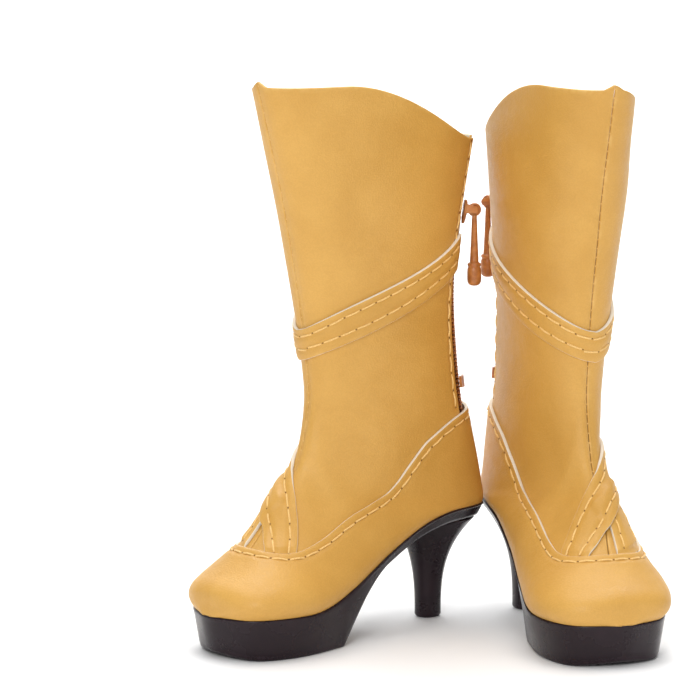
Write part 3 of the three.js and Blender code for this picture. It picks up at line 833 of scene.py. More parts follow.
@dataclass(frozen=True)
class StudioFloor:
    """Plain pale floor."""

    colour: Colour = (0.92, 0.92, 0.92)

    def make(self) -> bpy.types.Material:
        """Makes the finish.

        Returns:
            The material.
        """
        s = Shader("studio_floor_finish")
        shaded = tuple(c * 0.985 for c in self.colour)
        s.feed("Base Color", s.blend(s.noise(9, 2), self.colour, shaded))
        s.set(Roughness=0.8, Specular_IOR_Level=0.1)
        return s.material


class Finishes:
    """Every finish of the pair, each made once."""

    def __init__(self) -> None:
        """Builds the materials."""
        self.leather = GrainedLeather().make()
        self.thread = Thread().make()
        # The needle punctures get dark dots: painted shade where the thread goes into the leather.
        self.hole_shade = Fibrous("needle_hole_shade_finish", (0.26, 0.115, 0.025), (0.14, 0.055, 0.012)).make()
        self.sole = MouldedSole().make()
        self.board = Fibrous("board_finish", (0.62, 0.49, 0.31), (0.44, 0.33, 0.19)).make()
        self.sock = Fibrous("sock_lining_finish", (0.80, 0.71, 0.54), (0.66, 0.56, 0.39)).make()
        self.stiffener = Fibrous("stiffener_finish", (0.70, 0.62, 0.46), (0.55, 0.46, 0.31)).make()
        self.tape = WovenTape().make()
        self.brown = BrownPlastic().make()


# ---- meshes
@dataclass
class Draft:
    """A mesh being made: points in the boot's own millimetres, faces and attributes."""

    points: Array
    faces: Faces
    marks: dict[str, Array] = field(default_factory=dict)

    def volume(self) -> float:
        """Measures the body, to tell which way its faces point.

        Returns:
            Six times the signed volume, positive when the faces point outwards.
        """
        corners = np.array([(f[0], f[k], f[k + 1]) for f in self.faces
                            for k in range(1, len(f) - 1)])
        a, b, c = (self.points[corners[:, k]] for k in range(3))
        return float((a * np.cross(b, c)).sum())

    def joined(self, other: "Draft") -> "Draft":
        """Puts another closed solid into the same piece.

        Args:
            other: A draft with the same marks.

        Returns:
            Both as one draft.
        """
        shift = len(self.points)
        faces = self.faces + [tuple(i + shift for i in face) for face in other.faces]
        marks = {name: np.concatenate([value, other.marks[name]])
                 for name, value in self.marks.items()}
        return Draft(np.concatenate([self.points, other.points]), faces, marks)

    def build(self, name: str, stand: Stand, material: bpy.types.Material) -> bpy.types.Object:
        """Makes the object.

        Args:
            name: The piece's name.
            stand: Where the boot stands.
            material: The piece's finish.

        Returns:
            The smooth-shaded object, with its place in its mesh.
        """
        placed = stand.place(self.points)
        faces = self.faces
        if (self.volume() < 0) != (stand.side.mirror < 0):
            faces = [face[::-1] for face in faces]
        mesh = bpy.data.meshes.new(name)
        mesh.from_pydata(placed.tolist(), [], faces)
        for mark, values in self.marks.items():
            layer = mesh.attributes.new(mark, "FLOAT", "POINT")
            layer.data.foreach_set("value", np.asarray(values, np.float32))
        mesh.polygons.foreach_set("use_smooth", [True] * len(mesh.polygons))
        mesh.materials.append(material)
        mesh.update()
        return add_object(name, mesh)


class Edge(Enum):
    """How a sheet of leather ends: its corner radius and how much of the raw core shows."""

    CUT = (0.09, 1.0)
    TURNED = (0.28, 0.0)

    @property
    def radius(self) -> float:
        """Returns the radius of the corner in millimetres."""
        return self.value[0]

    @property
    def core(self) -> float:
        """Returns 1 where the cream core shows and 0 where the face is turned over it."""
        return self.value[1]


class Border(Enum):
    """A border of a sheet's grid that a row of stitches can follow."""

    FIRST_ROW = "first row"
    LAST_ROW = "last row"
    LAST_COLUMN = "last column"

    def facing(self, grid: Array) -> Array:
        """Returns a grid turned so that this border is its first row."""
        turned = grid.T if self is Border.LAST_COLUMN else grid
        return turned if self is Border.FIRST_ROW else turned[:, ::-1]


@dataclass
class Row:
    """A row of stitches: points on the leather's face and the directions out of it."""

    points: Array
    outs: Array

    @staticmethod
    def on(stations: Array, angles: Array, height: Array) -> "Row":
        """Returns a row through stations and angles at a height over the surface."""
        return Row(SHAPE.lifted(stations, angles, height), SHAPE.normal(stations, angles))

    def trimmed(self, start: float, end: float) -> "Row":
        """Shortens the row.

        Args:
            start: Millimetres left out at the start.
            end: Millimetres left out at the end.

        Returns:
            The shorter row, evenly spaced.
        """
        along = lengths_along(self.points)
        at = np.linspace(start, along[-1] - end, max(8, int(along[-1] / 0.6)))
        return Row(read_at(at, along, self.points), unit(read_at(at, along, self.outs)))


def distance_to(points: Array, line: Array) -> Array:
    """Measures how far points are from a line of points.

    Args:
        points: Points with x, y, z on the last axis.
        line: The points to measure from.

    Returns:
        One distance for each point.
    """
    tree = KDTree(len(line))
    for k, point in enumerate(line):
        tree.insert(point, k)
    tree.balance()
    found = [tree.find(point)[2] for point in points.reshape(-1, 3)]
    return np.array(found).reshape(points.shape[:-1])


def densely(line: Array, step: float = 0.25) -> Array:
    """Fills a line with points.

    Args:
        line: Points in order.
        step: The largest distance between the new points.

    Returns:
        The new points.
    """
    along = lengths_along(line)
    return read_at(np.arange(0, along[-1], step), along, line)


@dataclass(frozen=True)
class Creases:
    """Soft dents and folds that a worn-in soft shaft has, the same for every layer."""

    seed: int
    depth: float = 0.16
    waves: int = 7
    toe_bulge: float = 0.75
    # Each dent's station, angle, height out of the leather, half height in stations, half width
    # in degrees, and lean in degrees a station.
    dents: tuple = ((7.6, 48, -0.34, 1.0, 13, 0), (8.6, 30, 0.30, 1.3, 8, 9),
                    (9.9, 34, -0.28, 1.3, 9, 9), (6.5, 20, -0.20, 0.5, 18, 0),
                    (7.1, 70, 0.18, 0.7, 18, 0), (8.4, -50, -0.3, 1.1, 13, 0),
                    (7.2, -30, -0.2, 0.6, 15, 0), (5.6, 60, -0.16, 0.5, 26, 0))

    def at(self, station: Array, angle: Array) -> Array:
        """Reads the creases at a station and an angle.

        Args:
            station: 0 above the rim to 17 at the toe tip.
            angle: Degrees round the section.

        Returns:
            Millimetres out (+) or in (-) at each place.
        """
        rng = np.random.default_rng(self.seed)
        point = SHAPE.surface(station, angle)
        relief = np.zeros(point.shape[:-1])
        for _ in range(self.waves):
            wave = rng.uniform(0.10, 0.32, 3) * rng.choice([-1, 1], 3)
            relief += np.sin(point @ wave + rng.uniform(0, 6.28)) / self.waves
        turned = (angle + 180) % 360 - 180
        for mid, away, deep, tall, wide, lean in self.dents:
            lean_angle = away + lean * (station - mid)
            fall = ((station - mid) / tall) ** 2 + ((turned - lean_angle) / wide) ** 2
            relief = relief + deep / self.depth * np.exp(-fall)
        stiff = ease((station - 11.5) / 2)
        rim = ease((SHAPE.last - station) / 1.0)
        bulge = self.toe_bulge * np.exp(-((station - 15.9) / 0.9) ** 2 - (turned / 75) ** 2)
        return (self.depth * relief * (1 - 0.9 * stiff) + bulge) * rim


@dataclass
class Sheet:
    """A sheet of leather over a grid of stations and angles.

    The grid is [column][row]; edges are how its first and last columns and its first and last
    rows end, in that order. The drop lowers the inner face, and a valley is a line of points
    that the outer face sinks along.
    """

    stations: Array
    angles: Array
    lift: Array | float
    creases: Creases
    edges: tuple[Edge, Edge, Edge, Edge]
    thickness: Array | float = SHAPE.leather
    rows: list[Row] = field(default_factory=list)
    crown: Array | float = 0.0
    drop: Array | float = 0.0
    valley: Array | None = None
    row_sink: float = 0.13
    row_swell: float = 0.05
    valley_sink: float = 0.24

    def base(self) -> Array:
        """Places the inner face.

        Returns:
            The points, on the sheet's grid.
        """
        height = self.lift + self.creases.at(self.stations, self.angles)
        points = SHAPE.lifted(self.stations, self.angles, height)
        points[..., 2] -= self.drop
        return points

    def row_along(self, border: Border, inset: float) -> Row:
        """Lays a row of stitches beside a border of the sheet.

        Args:
            border: The border.
            inset: Distance from it.

        Returns:
            The row, running the whole length of the border.
        """
        stations, angles = border.facing(self.stations), border.facing(self.angles)
        creased = self.creases.at(self.stations, self.angles)
        heights = border.facing(self.lift + self.thickness + creased)
        points = SHAPE.surface(stations, angles)
        away = distance_to(points, densely(points[:, 0]))
        found = [[np.interp(inset, np.maximum.accumulate(away[i]), grid[i])
                  for grid in (stations, angles, heights)] for i in range(len(stations))]
        s, a, h = np.array(found).T
        return Row.on(s, a, h)

    def _boundary(self) -> list[tuple[int, int]]:
        """Walks round the sheet's grid.

        Returns:
            The column and row of each place.
        """
        n, m = self.stations.shape
        return ([(i, 0) for i in range(n)] + [(n - 1, j) for j in range(1, m)]
                + [(i, m - 1) for i in range(n - 2, -1, -1)] + [(0, j) for j in range(m - 2, 0, -1)])

    def _edge_at(self, i: int, j: int) -> Edge:
        """Looks up how the sheet ends.

        Args:
            i: The place's column.
            j: Its row.

        Returns:
            How the sheet ends there.
        """
        if j in (0, self.stations.shape[1] - 1):
            return self.edges[2] if j == 0 else self.edges[3]
        return self.edges[0] if i == 0 else self.edges[1]

    def draft(self) -> Draft:
        """Returns the closed sheet, with its layer and rub attributes.

        The face sinks along each row of stitches, and the corners of the edges are rounded.

        Returns:
            The mesh, in the boot's own millimetres.
        """
        n, m = self.stations.shape
        base, out = self.base(), SHAPE.normal(self.stations, self.angles)
        thick = np.broadcast_to(np.asarray(self.thickness, float), (n, m)).copy()
        face = thick + self.crown
        for row in self.rows:
            gap = distance_to(base + out * thick[..., None], densely(row.points))
            swell = self.row_swell * np.exp(-((gap - 1.1) / 0.5) ** 2)
            face = face - self.row_sink * np.exp(-(gap / 0.45) ** 2) + swell
        if self.valley is not None:
            gap = distance_to(base + out * thick[..., None], densely(self.valley))
            face = face - self.valley_sink * np.exp(-(gap / 0.55) ** 2)
        loop = self._boundary()
        ii, jj = np.array(loop).T
        corner = np.array([self._edge_at(i, j).radius for i, j in loop])
        core = np.array([self._edge_at(i, j).core for i, j in loop])
        corner = np.minimum(corner, thick[ii, jj] * 0.45)
        rim, rim_out = base[ii, jj], out[ii, jj]
        along = unit(np.roll(rim, -1, 0) - np.roll(rim, 1, 0))
        inward = unit(np.cross(rim_out, along))
        middle = base[1:-1, 1:-1].reshape(-1, 3)
        probe = rim + inward * 0.2
        nearer = distance_to(probe, middle) < distance_to(rim - inward * 0.2, middle)
        inward = inward * np.where(nearer, 1, -1)[:, None]

        def ring(inset: Array, height: Array) -> Array:
            """Returns the points round the sheet at an inset and a height."""
            return rim + inward * inset[:, None] + rim_out * height[:, None]

        top = thick[ii, jj]
        outer = base + out * face[..., None]
        inner = base.copy()
        outer[ii, jj] = ring(corner, top)
        inner[ii, jj] = ring(corner, np.zeros(len(loop)))
        rings = [ring(corner * 0.3, top - corner * 0.3), ring(corner * 0, top - corner),
                 ring(corner * 0, corner), ring(corner * 0.3, corner * 0.3)]
        points = np.concatenate([outer.reshape(-1, 3), inner.reshape(-1, 3), *rings])
        count, size = len(loop), n * m
        face_index = np.array([i * m + j for i, j in loop])
        loops = [face_index] + [2 * size + k * count + np.arange(count) for k in range(4)]
        loops.append(face_index + size)
        faces = []
        for i in range(n - 1):
            for j in range(m - 1):
                a, b, c, d = i * m + j, (i + 1) * m + j, (i + 1) * m + j + 1, i * m + j + 1
                faces.append((a, b, c, d))
                faces.append((d + size, c + size, b + size, a + size))
        for first, second in zip(loops[:-1], loops[1:]):
            for k in range(count):
                nxt = (k + 1) % count
                faces.append((first[nxt], first[k], second[k], second[nxt]))
        faces = [tuple(int(v) for v in f) for f in faces]
        layer = np.concatenate([np.zeros(size), np.full(size, 2.0), *[core] * 4])
        wear = 0.55 * np.exp(-(distance_to(base, rim) / 0.5) ** 2)
        rub = np.concatenate([wear.reshape(-1), np.zeros(size), *[1 - core] * 4])
        return Draft(points, faces, {"layer": layer, "rub": rub})


def loft(rings: Array, rub: Array | None = None) -> Draft:
    """Closes a row of rings of points into one body.

    Args:
        rings: Points as [ring][place round it].
        rub: How worn each point is, 0 to 1.

    Returns:
        The mesh, with a fan over each end.
    """
    count, around = rings.shape[:2]
    points = np.concatenate([rings.reshape(-1, 3), rings[0].mean(0)[None], rings[-1].mean(0)[None]])
    faces: Faces = []
    for i in range(count - 1):
        for j in range(around):
            k = (j + 1) % around
            faces.append((i * around + j, i * around + k, (i + 1) * around + k, (i + 1) * around + j))
    start, end = count * around, count * around + 1
    for j in range(around):
        k = (j + 1) % around
        faces.append((start, k, j))
        faces.append((end, (count - 1) * around + j, (count - 1) * around + k))
    worn = np.zeros(len(points)) if rub is None else np.append(rub.reshape(-1), [0, 0])
    return Draft(points, faces, {"rub": worn})


# ---- repeats by Geometry Nodes
class Repeat:
    """A Geometry Nodes tree that lays one small shape along rows."""

    def __init__(self, name: str, numbers: dict[str, float]) -> None:
        """Starts the tree with its inputs: rows, sizes, a seed and a finish.

        Args:
            name: The tree's name.
            numbers: Its named sizes, in metres.
        """
        self.tree = bpy.data.node_groups.new(name, "GeometryNodeTree")
        face = self.tree.interface
        face.new_socket("Rows", in_out="INPUT", socket_type="NodeSocketGeometry")
        for label, value in numbers.items():
            socket = face.new_socket(label, in_out="INPUT", socket_type="NodeSocketFloat")
            socket.default_value = value
        face.new_socket("Seed", in_out="INPUT", socket_type="NodeSocketInt")
        face.new_socket("Finish", in_out="INPUT", socket_type="NodeSocketMaterial")
        face.new_socket("Pieces", in_out="OUTPUT", socket_type="NodeSocketGeometry")
        self.entry = self.node("NodeGroupInput")
        self.exit = self.node("NodeGroupOutput")
        self.numbers = numbers

    def node(self, kind: str, **settings: object) -> bpy.types.Node:
        """Adds a node.

        Args:
            kind: The node's type.
            settings: Its properties.

        Returns:
            The node.
        """
        node = self.tree.nodes.new(kind)
        for name, value in settings.items():
            setattr(node, name, value)
        return node

    def join(self, source: object, target: object) -> None:
        """Joins two sockets."""
        link(self.tree, source, target)

    def calc(self, what: str, first: object, second: object = 0.0) -> object:
        """Returns a sum, product or other operation on two values or sockets."""
        return calculate(self.tree, what, first, second)

    def places(self, between: bool) -> object:
        """Lays points along each row, a whole number of pitches apart.

        Args:
            between: True for the middle of each pitch, False for the ends of the pitches.

        Returns:
            The curves' socket.
        """
        curve = self.node("GeometryNodeMeshToCurve")
        self.join(self.entry.outputs["Rows"], curve.inputs["Mesh"])
        length = self.node("GeometryNodeSplineLength")
        pitches = self.calc("DIVIDE", length.outputs["Length"], self.entry.outputs["Pitch"])
        count = self.calc("MAXIMUM", self.calc("ROUND", pitches), 2.0)
        source = curve.outputs[0]
        if between:
            trim = self.node("GeometryNodeTrimCurve", mode="FACTOR")
            half = self.calc("DIVIDE", 0.5, count)
            self.join(source, trim.inputs["Curve"])
            self.join(half, trim.inputs[2])
            self.join(self.calc("SUBTRACT", 1.0, half), trim.inputs[3])
            source = trim.outputs[0]
            kept = self.node("GeometryNodeSplineLength")
            count = self.calc("ADD", self.calc("ROUND", self.calc(
                "DIVIDE", kept.outputs["Length"], self.entry.outputs["Pitch"])), 1.0)
        else:
            count = self.calc("ADD", count, 1.0)
        spaced = self.node("GeometryNodeResampleCurve", mode="COUNT")
        self.join(source, spaced.inputs["Curve"])
        self.join(count, spaced.inputs["Count"])
        return spaced.outputs[0]

    def lay(self, curves: object, shape: object, jitter: float) -> None:
        """Sets the shape on every point, along the row and upright on the leather.

        Args:
            curves: The spaced curves.
            shape: The shape's geometry socket, with X along the row and Z out of the leather.
            jitter: Largest random turn about the leather's outward direction, in radians.
        """
        tangent = self.node("GeometryNodeInputTangent")
        out = self.node("GeometryNodeInputNamedAttribute", data_type="FLOAT_VECTOR")
        out.inputs["Name"].default_value = "out"
        along = self.node("FunctionNodeAlignRotationToVector", axis="X")
        self.join(tangent.outputs[0], along.inputs["Vector"])
        upright = self.node("FunctionNodeAlignRotationToVector", axis="Z", pivot_axis="X")
        self.join(along, upright.inputs["Rotation"])
        self.join(out.outputs["Attribute"], upright.inputs["Vector"])
        chance = self.node("FunctionNodeRandomValue", data_type="FLOAT")
        for socket, value in ((chance.inputs[2], -jitter), (chance.inputs[3], jitter)):
            socket.default_value = value
        self.join(self.entry.outputs["Seed"], chance.inputs["Seed"])
        spin = self.node("ShaderNodeCombineXYZ")
        self.join(chance.outputs[1], spin.inputs["Z"])
        turned = self.node("FunctionNodeRotateRotation", rotation_space="LOCAL")
        self.join(upright, turned.inputs["Rotation"])
        self.join(spin, turned.inputs["Rotate By"])
        laid = self.node("GeometryNodeInstanceOnPoints")
        self.join(curves, laid.inputs["Points"])
        self.join(shape, laid.inputs["Instance"])
        self.join(turned, laid.inputs["Rotation"])
        real = self.node("GeometryNodeRealizeInstances")
        self.join(laid, real.inputs[0])
        smooth = self.node("GeometryNodeSetShadeSmooth")
        self.join(real, smooth.inputs[0])
        dressed = self.node("GeometryNodeSetMaterial")
        self.join(smooth, dressed.inputs["Geometry"])
        self.join(self.entry.outputs["Finish"], dressed.inputs["Material"])
        self.join(dressed, self.exit.inputs["Pieces"])

    def apply(self, name: str, stand: Stand, rows: list[Row], finish: bpy.types.Material,
              seed: int) -> bpy.types.Object:
        """Runs the tree over rows and keeps the result as a plain mesh.

        Args:
            name: The piece's name.
            stand: Where the boot stands.
            rows: The rows to follow.
            finish: The material.
            seed: Seed of the random turns.

        Returns:
            The piece.
        """
        points = np.concatenate([stand.place(row.points) for row in rows])
        outs = np.concatenate([stand.direct(row.outs) for row in rows])
        edges, start = [], 0
        for row in rows:
            edges += [(start + k, start + k + 1) for k in range(len(row.points) - 1)]
            start += len(row.points)
        guide = bpy.data.meshes.new(name + "_guide")
        guide.from_pydata(points.tolist(), edges, [])
        normal = guide.attributes.new("out", "FLOAT_VECTOR", "POINT")
        normal.data.foreach_set("vector", outs.astype(np.float32).ravel())
        carrier = add_object(name + "_guide", guide)
        modifier = carrier.modifiers.new("repeat", "NODES")
        modifier.node_group = self.tree
        named = {item.name: item.identifier for item in self.tree.interface.items_tree
                 if item.item_type == "SOCKET" and item.in_out == "INPUT"}
        for label, value in self.numbers.items():
            modifier[named[label]] = value
        modifier[named["Seed"]] = seed
        modifier[named["Finish"]] = finish
        bpy.context.view_layer.update()
        ready = carrier.evaluated_get(bpy.context.evaluated_depsgraph_get())
        mesh = bpy.data.meshes.new_from_object(ready)
        mesh.name = name
        for attribute in list(mesh.attributes):
            if attribute.name == "out":
                mesh.attributes.remove(attribute)
        bpy.data.objects.remove(carrier)
        bpy.data.meshes.remove(guide)
        return add_object(name, mesh)


def stitch_tree() -> Repeat:
    """Builds the tree that lays a stitch of thread on every pitch of a row.

    Returns:
        The tree.
    """
    tree = Repeat("thread_stitches", {"Pitch": 3.4 * MM, "Length": 2.8 * MM, "Width": 0.36 * MM,
                                      "Rise": 0.30 * MM})
    arch = tree.node("GeometryNodeCurveQuadraticBezier")
    arch.inputs["Resolution"].default_value = 7
    half = tree.calc("MULTIPLY", tree.entry.outputs["Length"], 0.5)
    sink = tree.calc("MULTIPLY", tree.entry.outputs["Width"], -0.45)
    for name, x, z in (("Start", tree.calc("MULTIPLY", half, -1.0), sink),
                       ("Middle", None, tree.entry.outputs["Rise"]), ("End", half, sink)):
        point = tree.node("ShaderNodeCombineXYZ")
        if x is not None:
            tree.join(x, point.inputs["X"])
        tree.join(z, point.inputs["Z"])
        tree.join(point, arch.inputs[name])
    share = tree.node("GeometryNodeSplineParameter")
    off = tree.calc("ABSOLUTE", tree.calc("SUBTRACT", tree.calc(
        "MULTIPLY", share.outputs["Factor"], 2.0), 1.0))
    slim = tree.calc("SUBTRACT", 1.0, tree.calc("MULTIPLY", tree.calc("POWER", off, 3.0), 0.45))
    radius = tree.node("GeometryNodeSetCurveRadius")
    tree.join(arch, radius.inputs["Curve"])
    tree.join(slim, radius.inputs["Radius"])
    ring = tree.node("GeometryNodeCurvePrimitiveCircle", mode="RADIUS")
    ring.inputs["Resolution"].default_value = 7
    tree.join(tree.calc("MULTIPLY", tree.entry.outputs["Width"], 0.5), ring.inputs["Radius"])
    body = tree.node("GeometryNodeCurveToMesh")
    tree.join(radius, body.inputs["Curve"])
    tree.join(ring, body.inputs["Profile Curve"])
    body.inputs["Fill Caps"].default_value = True
    tree.lay(tree.places(between=True), body.outputs[0], 0.05)
    return tree


def dot_tree(name: str, pitch: float, radius: float, height: float) -> Repeat:
    """Returns a tree that lays a small flattened ball at the end of every pitch.

    Args:
        name: The tree's name.
        pitch: Distance between the balls, in metres.
        radius: Their radius along the leather, in metres.
        height: Their half height, in metres.

    Returns:
        The tree.
    """
    tree = Repeat(name, {"Pitch": pitch, "Radius": radius, "Height": height})
    ball = tree.node("GeometryNodeMeshUVSphere")
    ball.inputs["Segments"].default_value = 8
    ball.inputs["Rings"].default_value = 4
    ball.inputs["Radius"].default_value = 1.0
    scale = tree.node("ShaderNodeCombineXYZ")
    for axis, source in (("X", "Radius"), ("Y", "Radius"), ("Z", "Height")):
        tree.join(tree.entry.outputs[source], scale.inputs[axis])
    shaped = tree.node("GeometryNodeTransform")
    tree.join(ball, shaped.inputs["Geometry"])
    tree.join(scale, shaped.inputs["Scale"])
    tree.lay(tree.places(between=False), shaped.outputs[0], 0.2)
    return tree


def tooth_tree() -> Repeat:
    """Builds the tree that lays a zip tooth on every pitch of a tape's edge.

    Returns:
        The tree.
    """
    tree = Repeat("zip_teeth", {"Pitch": 0.78 * MM, "Length": 0.44 * MM, "Width": 1.0 * MM,
                                "Height": 0.62 * MM})
    block = tree.node("GeometryNodeMeshCube")
    size = tree.node("ShaderNodeCombineXYZ")
    for axis, source in (("X", "Length"), ("Y", "Width"), ("Z", "Height")):
        tree.join(tree.entry.outputs[source], size.inputs[axis])
    tree.join(size, block.inputs["Size"])
    softened = tree.node("GeometryNodeSubdivisionSurface")
    softened.inputs["Level"].default_value = 1
    softened.inputs["Edge Crease"].default_value = 0.55
    tree.join(block.outputs["Mesh"], softened.inputs["Mesh"])
    tree.lay(tree.places(between=False), softened.outputs[0], 0.0)
    return tree


@dataclass(frozen=True)
class Repeats:
    """The trees that the boots share."""

    stitches: Repeat
    hole_shade_dots: Repeat
    seam_dots: Repeat
    teeth: Repeat


# ---- the upper
@dataclass
class Upper:
    """The leather of one boot: shaft panels, straps and vamp, with their stitching."""

    stand: Stand
    finishes: Finishes
    repeats: Repeats
    seam_gap: float = 0.10
    shaft_columns: int = 92
    shaft_rows: int = 150
    underlap: float = 0.35
    underlap_limit: float = 13.6
    hug: float = 0.02
    skived: float = 0.3
    calf_crown: float = 0.12
    over_crown: float = 0.14
    under_crown: float = 0.12
    vamp_toe_share: float = 0.14
    vamp_back_angle: float = 179.98
    sole_touch: float = 0.05
    settle_from: float = 0.75
    strap_rows: tuple[float, float] = (1.35, 1.9)
    over_at: tuple = (-0.06, 0, 0.15, 0.3, 0.45, 0.6, 0.75, 0.88, 1, 1.06)
    over_upper: tuple = ((12.95, 42), (12.55, 39), (11.7, 31.5), (10.75, 22.5), (9.75, 13.5),
                         (8.75, 2), (7.85, -13), (7.25, -38), (6.95, -88), (7.2, -97))
    over_lower: tuple = ((13.4, 17), (13.0, 15), (12.45, 8.5), (11.85, 2), (11.2, -6),
                         (10.5, -16), (9.8, -29), (9.1, -46), (8.35, -68), (8.5, -76))
    under_at: tuple = (0, 0.5, 1, 1.12)
    under_medial: tuple = ((10.3, 3), (11.6, -3), (12.95, -5), (13.3, -5.5))
    under_lateral: tuple = ((9.2, -18), (10.8, -31), (12.2, -41), (12.6, -43))

    def __post_init__(self) -> None:
        """Chooses this boot's creases and starts its lists of rows."""
        self.creases = Creases(11 if self.stand.side is Side.RIGHT else 23)
        self.rows: list[Row] = []
        self.seam_rows: list[Row] = []

    def _finish(self, name: str, sheet: Sheet, rows: list[Row]) -> None:
        """Builds a leather piece and keeps its rows.

        Args:
            name: The CAD node that the piece stands for, without the side.
            sheet: The piece's sheet.
            rows: Its rows of stitches.
        """
        sheet.rows = rows
        side = self.stand.side.value
        piece = sheet.draft().build(f"{side}_{name}_leather", self.stand, self.finishes.leather)
        settle(piece, f"{side}_boot", f"{side}_{name}")
        self.rows += rows

    def shaft_foot(self, angle: Array) -> Array:
        """Returns the station where a shaft panel ends under the vamp."""
        return np.minimum(self.underlap_limit, SHAPE.vamp_station(behind(angle)) + self.underlap)

    def shaft_panel(self, side: int) -> None:
        """Makes a shaft panel.

        Args:
            side: +1 inner, -1 outer.
        """
        reach_back = 150.0 if side > 0 else 192.0
        share = np.linspace(0, 1, self.shaft_columns)[:, None]
        down = np.linspace(0, 1, self.shaft_rows)[None, :]
        angles = reach_back * share + 0 * down
        for _ in range(3):
            rim = SHAPE.rim_station(side * behind(angles))
            stations = mix(rim, self.shaft_foot(angles), down)
            middle = SHAPE.values(stations)[..., 8]
            seam = solve(lambda a: SHAPE.surface(stations, a)[..., 1] - middle - self.seam_gap / 2,
                         np.zeros_like(stations), np.full_like(stations, 40.0))
            edge = SHAPE.zip_edge(stations, side)
            angles = mix(seam, edge if side > 0 else 360 - edge, share)
        angles = side * angles
        sheet = Sheet(stations, angles, -SHAPE.leather, self.creases,
                      (Edge.TURNED, Edge.TURNED, Edge.TURNED, Edge.CUT))
        vamp_line = SHAPE.vamp_station(behind(np.abs(angles[-1, -1])))
        sheet.valley = SHAPE.surface(stations[0], angles[0] * 0)
        row = sheet.row_along(Border.LAST_COLUMN, 1.25).trimmed(0.6, 0.6)
        keep = self._above_vamp(row, float(vamp_line))
        name = "shaft_medial" if side > 0 else "shaft_lateral"
        self._finish(name, sheet, [keep])

    def _above_vamp(self, row: Row, vamp_line: float) -> Row:
        """Cuts a back row off where the vamp covers it.

        Args:
            row: The row beside the zip.
            vamp_line: The station of the vamp's edge there.

        Returns:
            The part above the vamp.
        """
        low = SHAPE.surface(np.array([vamp_line]), np.array([150.0]))[0, 2] + 0.9
        shown = row.points[:, 2] > low
        return Row(row.points[shown], row.outs[shown])

    def seams(self) -> None:
        """Ties the front seam and the heel's back seam with small turns of thread."""
        heights = (SHAPE.strap_front + 0.6, SHAPE.strap_front - SHAPE.strap_width - 0.8)
        rim = float(SHAPE.rim_station(np.zeros(1))[0])
        below = [float(SHAPE.station_at(np.array([h]), np.zeros(1))[0]) for h in heights]
        for start, end, angle, sink in ((rim + 0.06, below[0], 0.0, 0.2), (below[1], 8.4, 0.0, 0.2),
                                        (5.95, 8.8, 180.0, 0.18 - SHAPE.leather)):
            stations = np.linspace(start, end, 60)
            angles = np.full_like(stations, angle)
            height = self.creases.at(stations, angles) - sink
            self.seam_rows.append(Row.on(stations, angles, height))

    def calf_strap(self) -> None:
        """Makes the band that wraps the shaft from the zip round the front and back."""
        share = np.linspace(0, 1, 230)[:, None]
        across = np.linspace(0, 1, 17)[None, :]
        nominal = mix(-190.0, 150.0, share)
        away = behind(np.abs(nominal))
        upper = mix(SHAPE.strap_front, SHAPE.strap_back, np.clip(away / 158, 0, 1.1) ** 1.25)
        waist = 1 + 0.17 * np.sin(np.radians(np.minimum(away, 120))) ** 2
        height = mix(upper - SHAPE.strap_width * waist, upper, across)
        stations = SHAPE.station_at(height, np.broadcast_to(nominal, height.shape))
        start = SHAPE.zip_edge(stations, -1) - 360
        end = SHAPE.zip_edge(stations, 1)
        angles = mix(start, end, share)
        stations = SHAPE.station_at(height, angles)
        crown = self.calf_crown * (1 - (2 * across - 1) ** 2)
        sheet = Sheet(stations, angles, self.hug, self.creases, (Edge.CUT,) * 4, crown=crown)
        rows = [sheet.row_along(Border.LAST_ROW, self.strap_rows[0]).trimmed(0.9, 0.9),
                sheet.row_along(Border.FIRST_ROW, self.strap_rows[1]).trimmed(0.9, 0.9)]
        self._finish("calf_strap", sheet, rows)

    def vamp(self) -> None:
        """Makes the vamp and counter, from the toe round both sides to the back seam."""
        across = np.linspace(-1, 1, 331)[:, None]
        down = 1 - (1 - np.linspace(0, 1, 74)[None, :]) ** 1.45
        share = np.abs(across)
        side = np.where(across < 0, -1, 1)
        upper = self.vamp_back_angle * share**1.15
        toe = share < self.vamp_toe_share
        back = np.clip((share - self.vamp_toe_share) / (1 - self.vamp_toe_share), 0, 1)
        lower = np.where(toe, SHAPE.last, SHAPE.feather_station(1 - back, self.sole_touch))
        touch = SHAPE.feather_angle(lower, self.sole_touch)
        heel = lower <= SHAPE.heel_end(self.sole_touch) + 1e-6
        touch = np.minimum(self.vamp_back_angle, np.where(heel, 180.0, touch))
        lower_angle = np.where(toe, touch * share / self.vamp_toe_share, touch)
        stations = mix(SHAPE.vamp_station(upper), lower, down)
        angles = side * mix(upper, lower_angle, down)
        sheet = Sheet(stations, angles, self.hug, self.creases,
                      (Edge.TURNED, Edge.TURNED, Edge.CUT, Edge.TURNED))
        foot = sheet.base()[:, -1]
        sole_side = foot + SHAPE.normal(stations, angles)[:, -1] * SHAPE.leather
        above = np.maximum(*(p[:, 2] - SHAPE.bed(p[:, 0]) for p in (foot, sole_side))) + 0.15
        sheet.drop = above[:, None] * ease((down - self.settle_from) / (1 - self.settle_from))
        row = sheet.row_along(Border.FIRST_ROW, 1.4).trimmed(1.2, 1.2)
        self._finish("vamp", sheet, [row])

    def _strap(self, first: tuple, second: tuple, at: tuple,
               shape: tuple[int, int]) -> tuple[Array, ...]:
        """Returns the stations, angles, shares along and shares across of a strap's grid.

        Args:
            first: Stations and angles of its upper edge.
            second: The same for its lower edge.
            at: The share along the strap of each of those points.
            shape: Columns and rows of the grid.

        Returns:
            Four arrays, the last two as a column and a row.
        """
        along = np.linspace(at[0], at[-1], shape[0])
        p = through(at, first, along)[:, None, :]
        q = through(at, second, along)[:, None, :]
        across = np.linspace(0, 1, shape[1])[None, :]
        grid = mix(p, q, across[..., None])
        return grid[..., 0], grid[..., 1], along[:, None], across

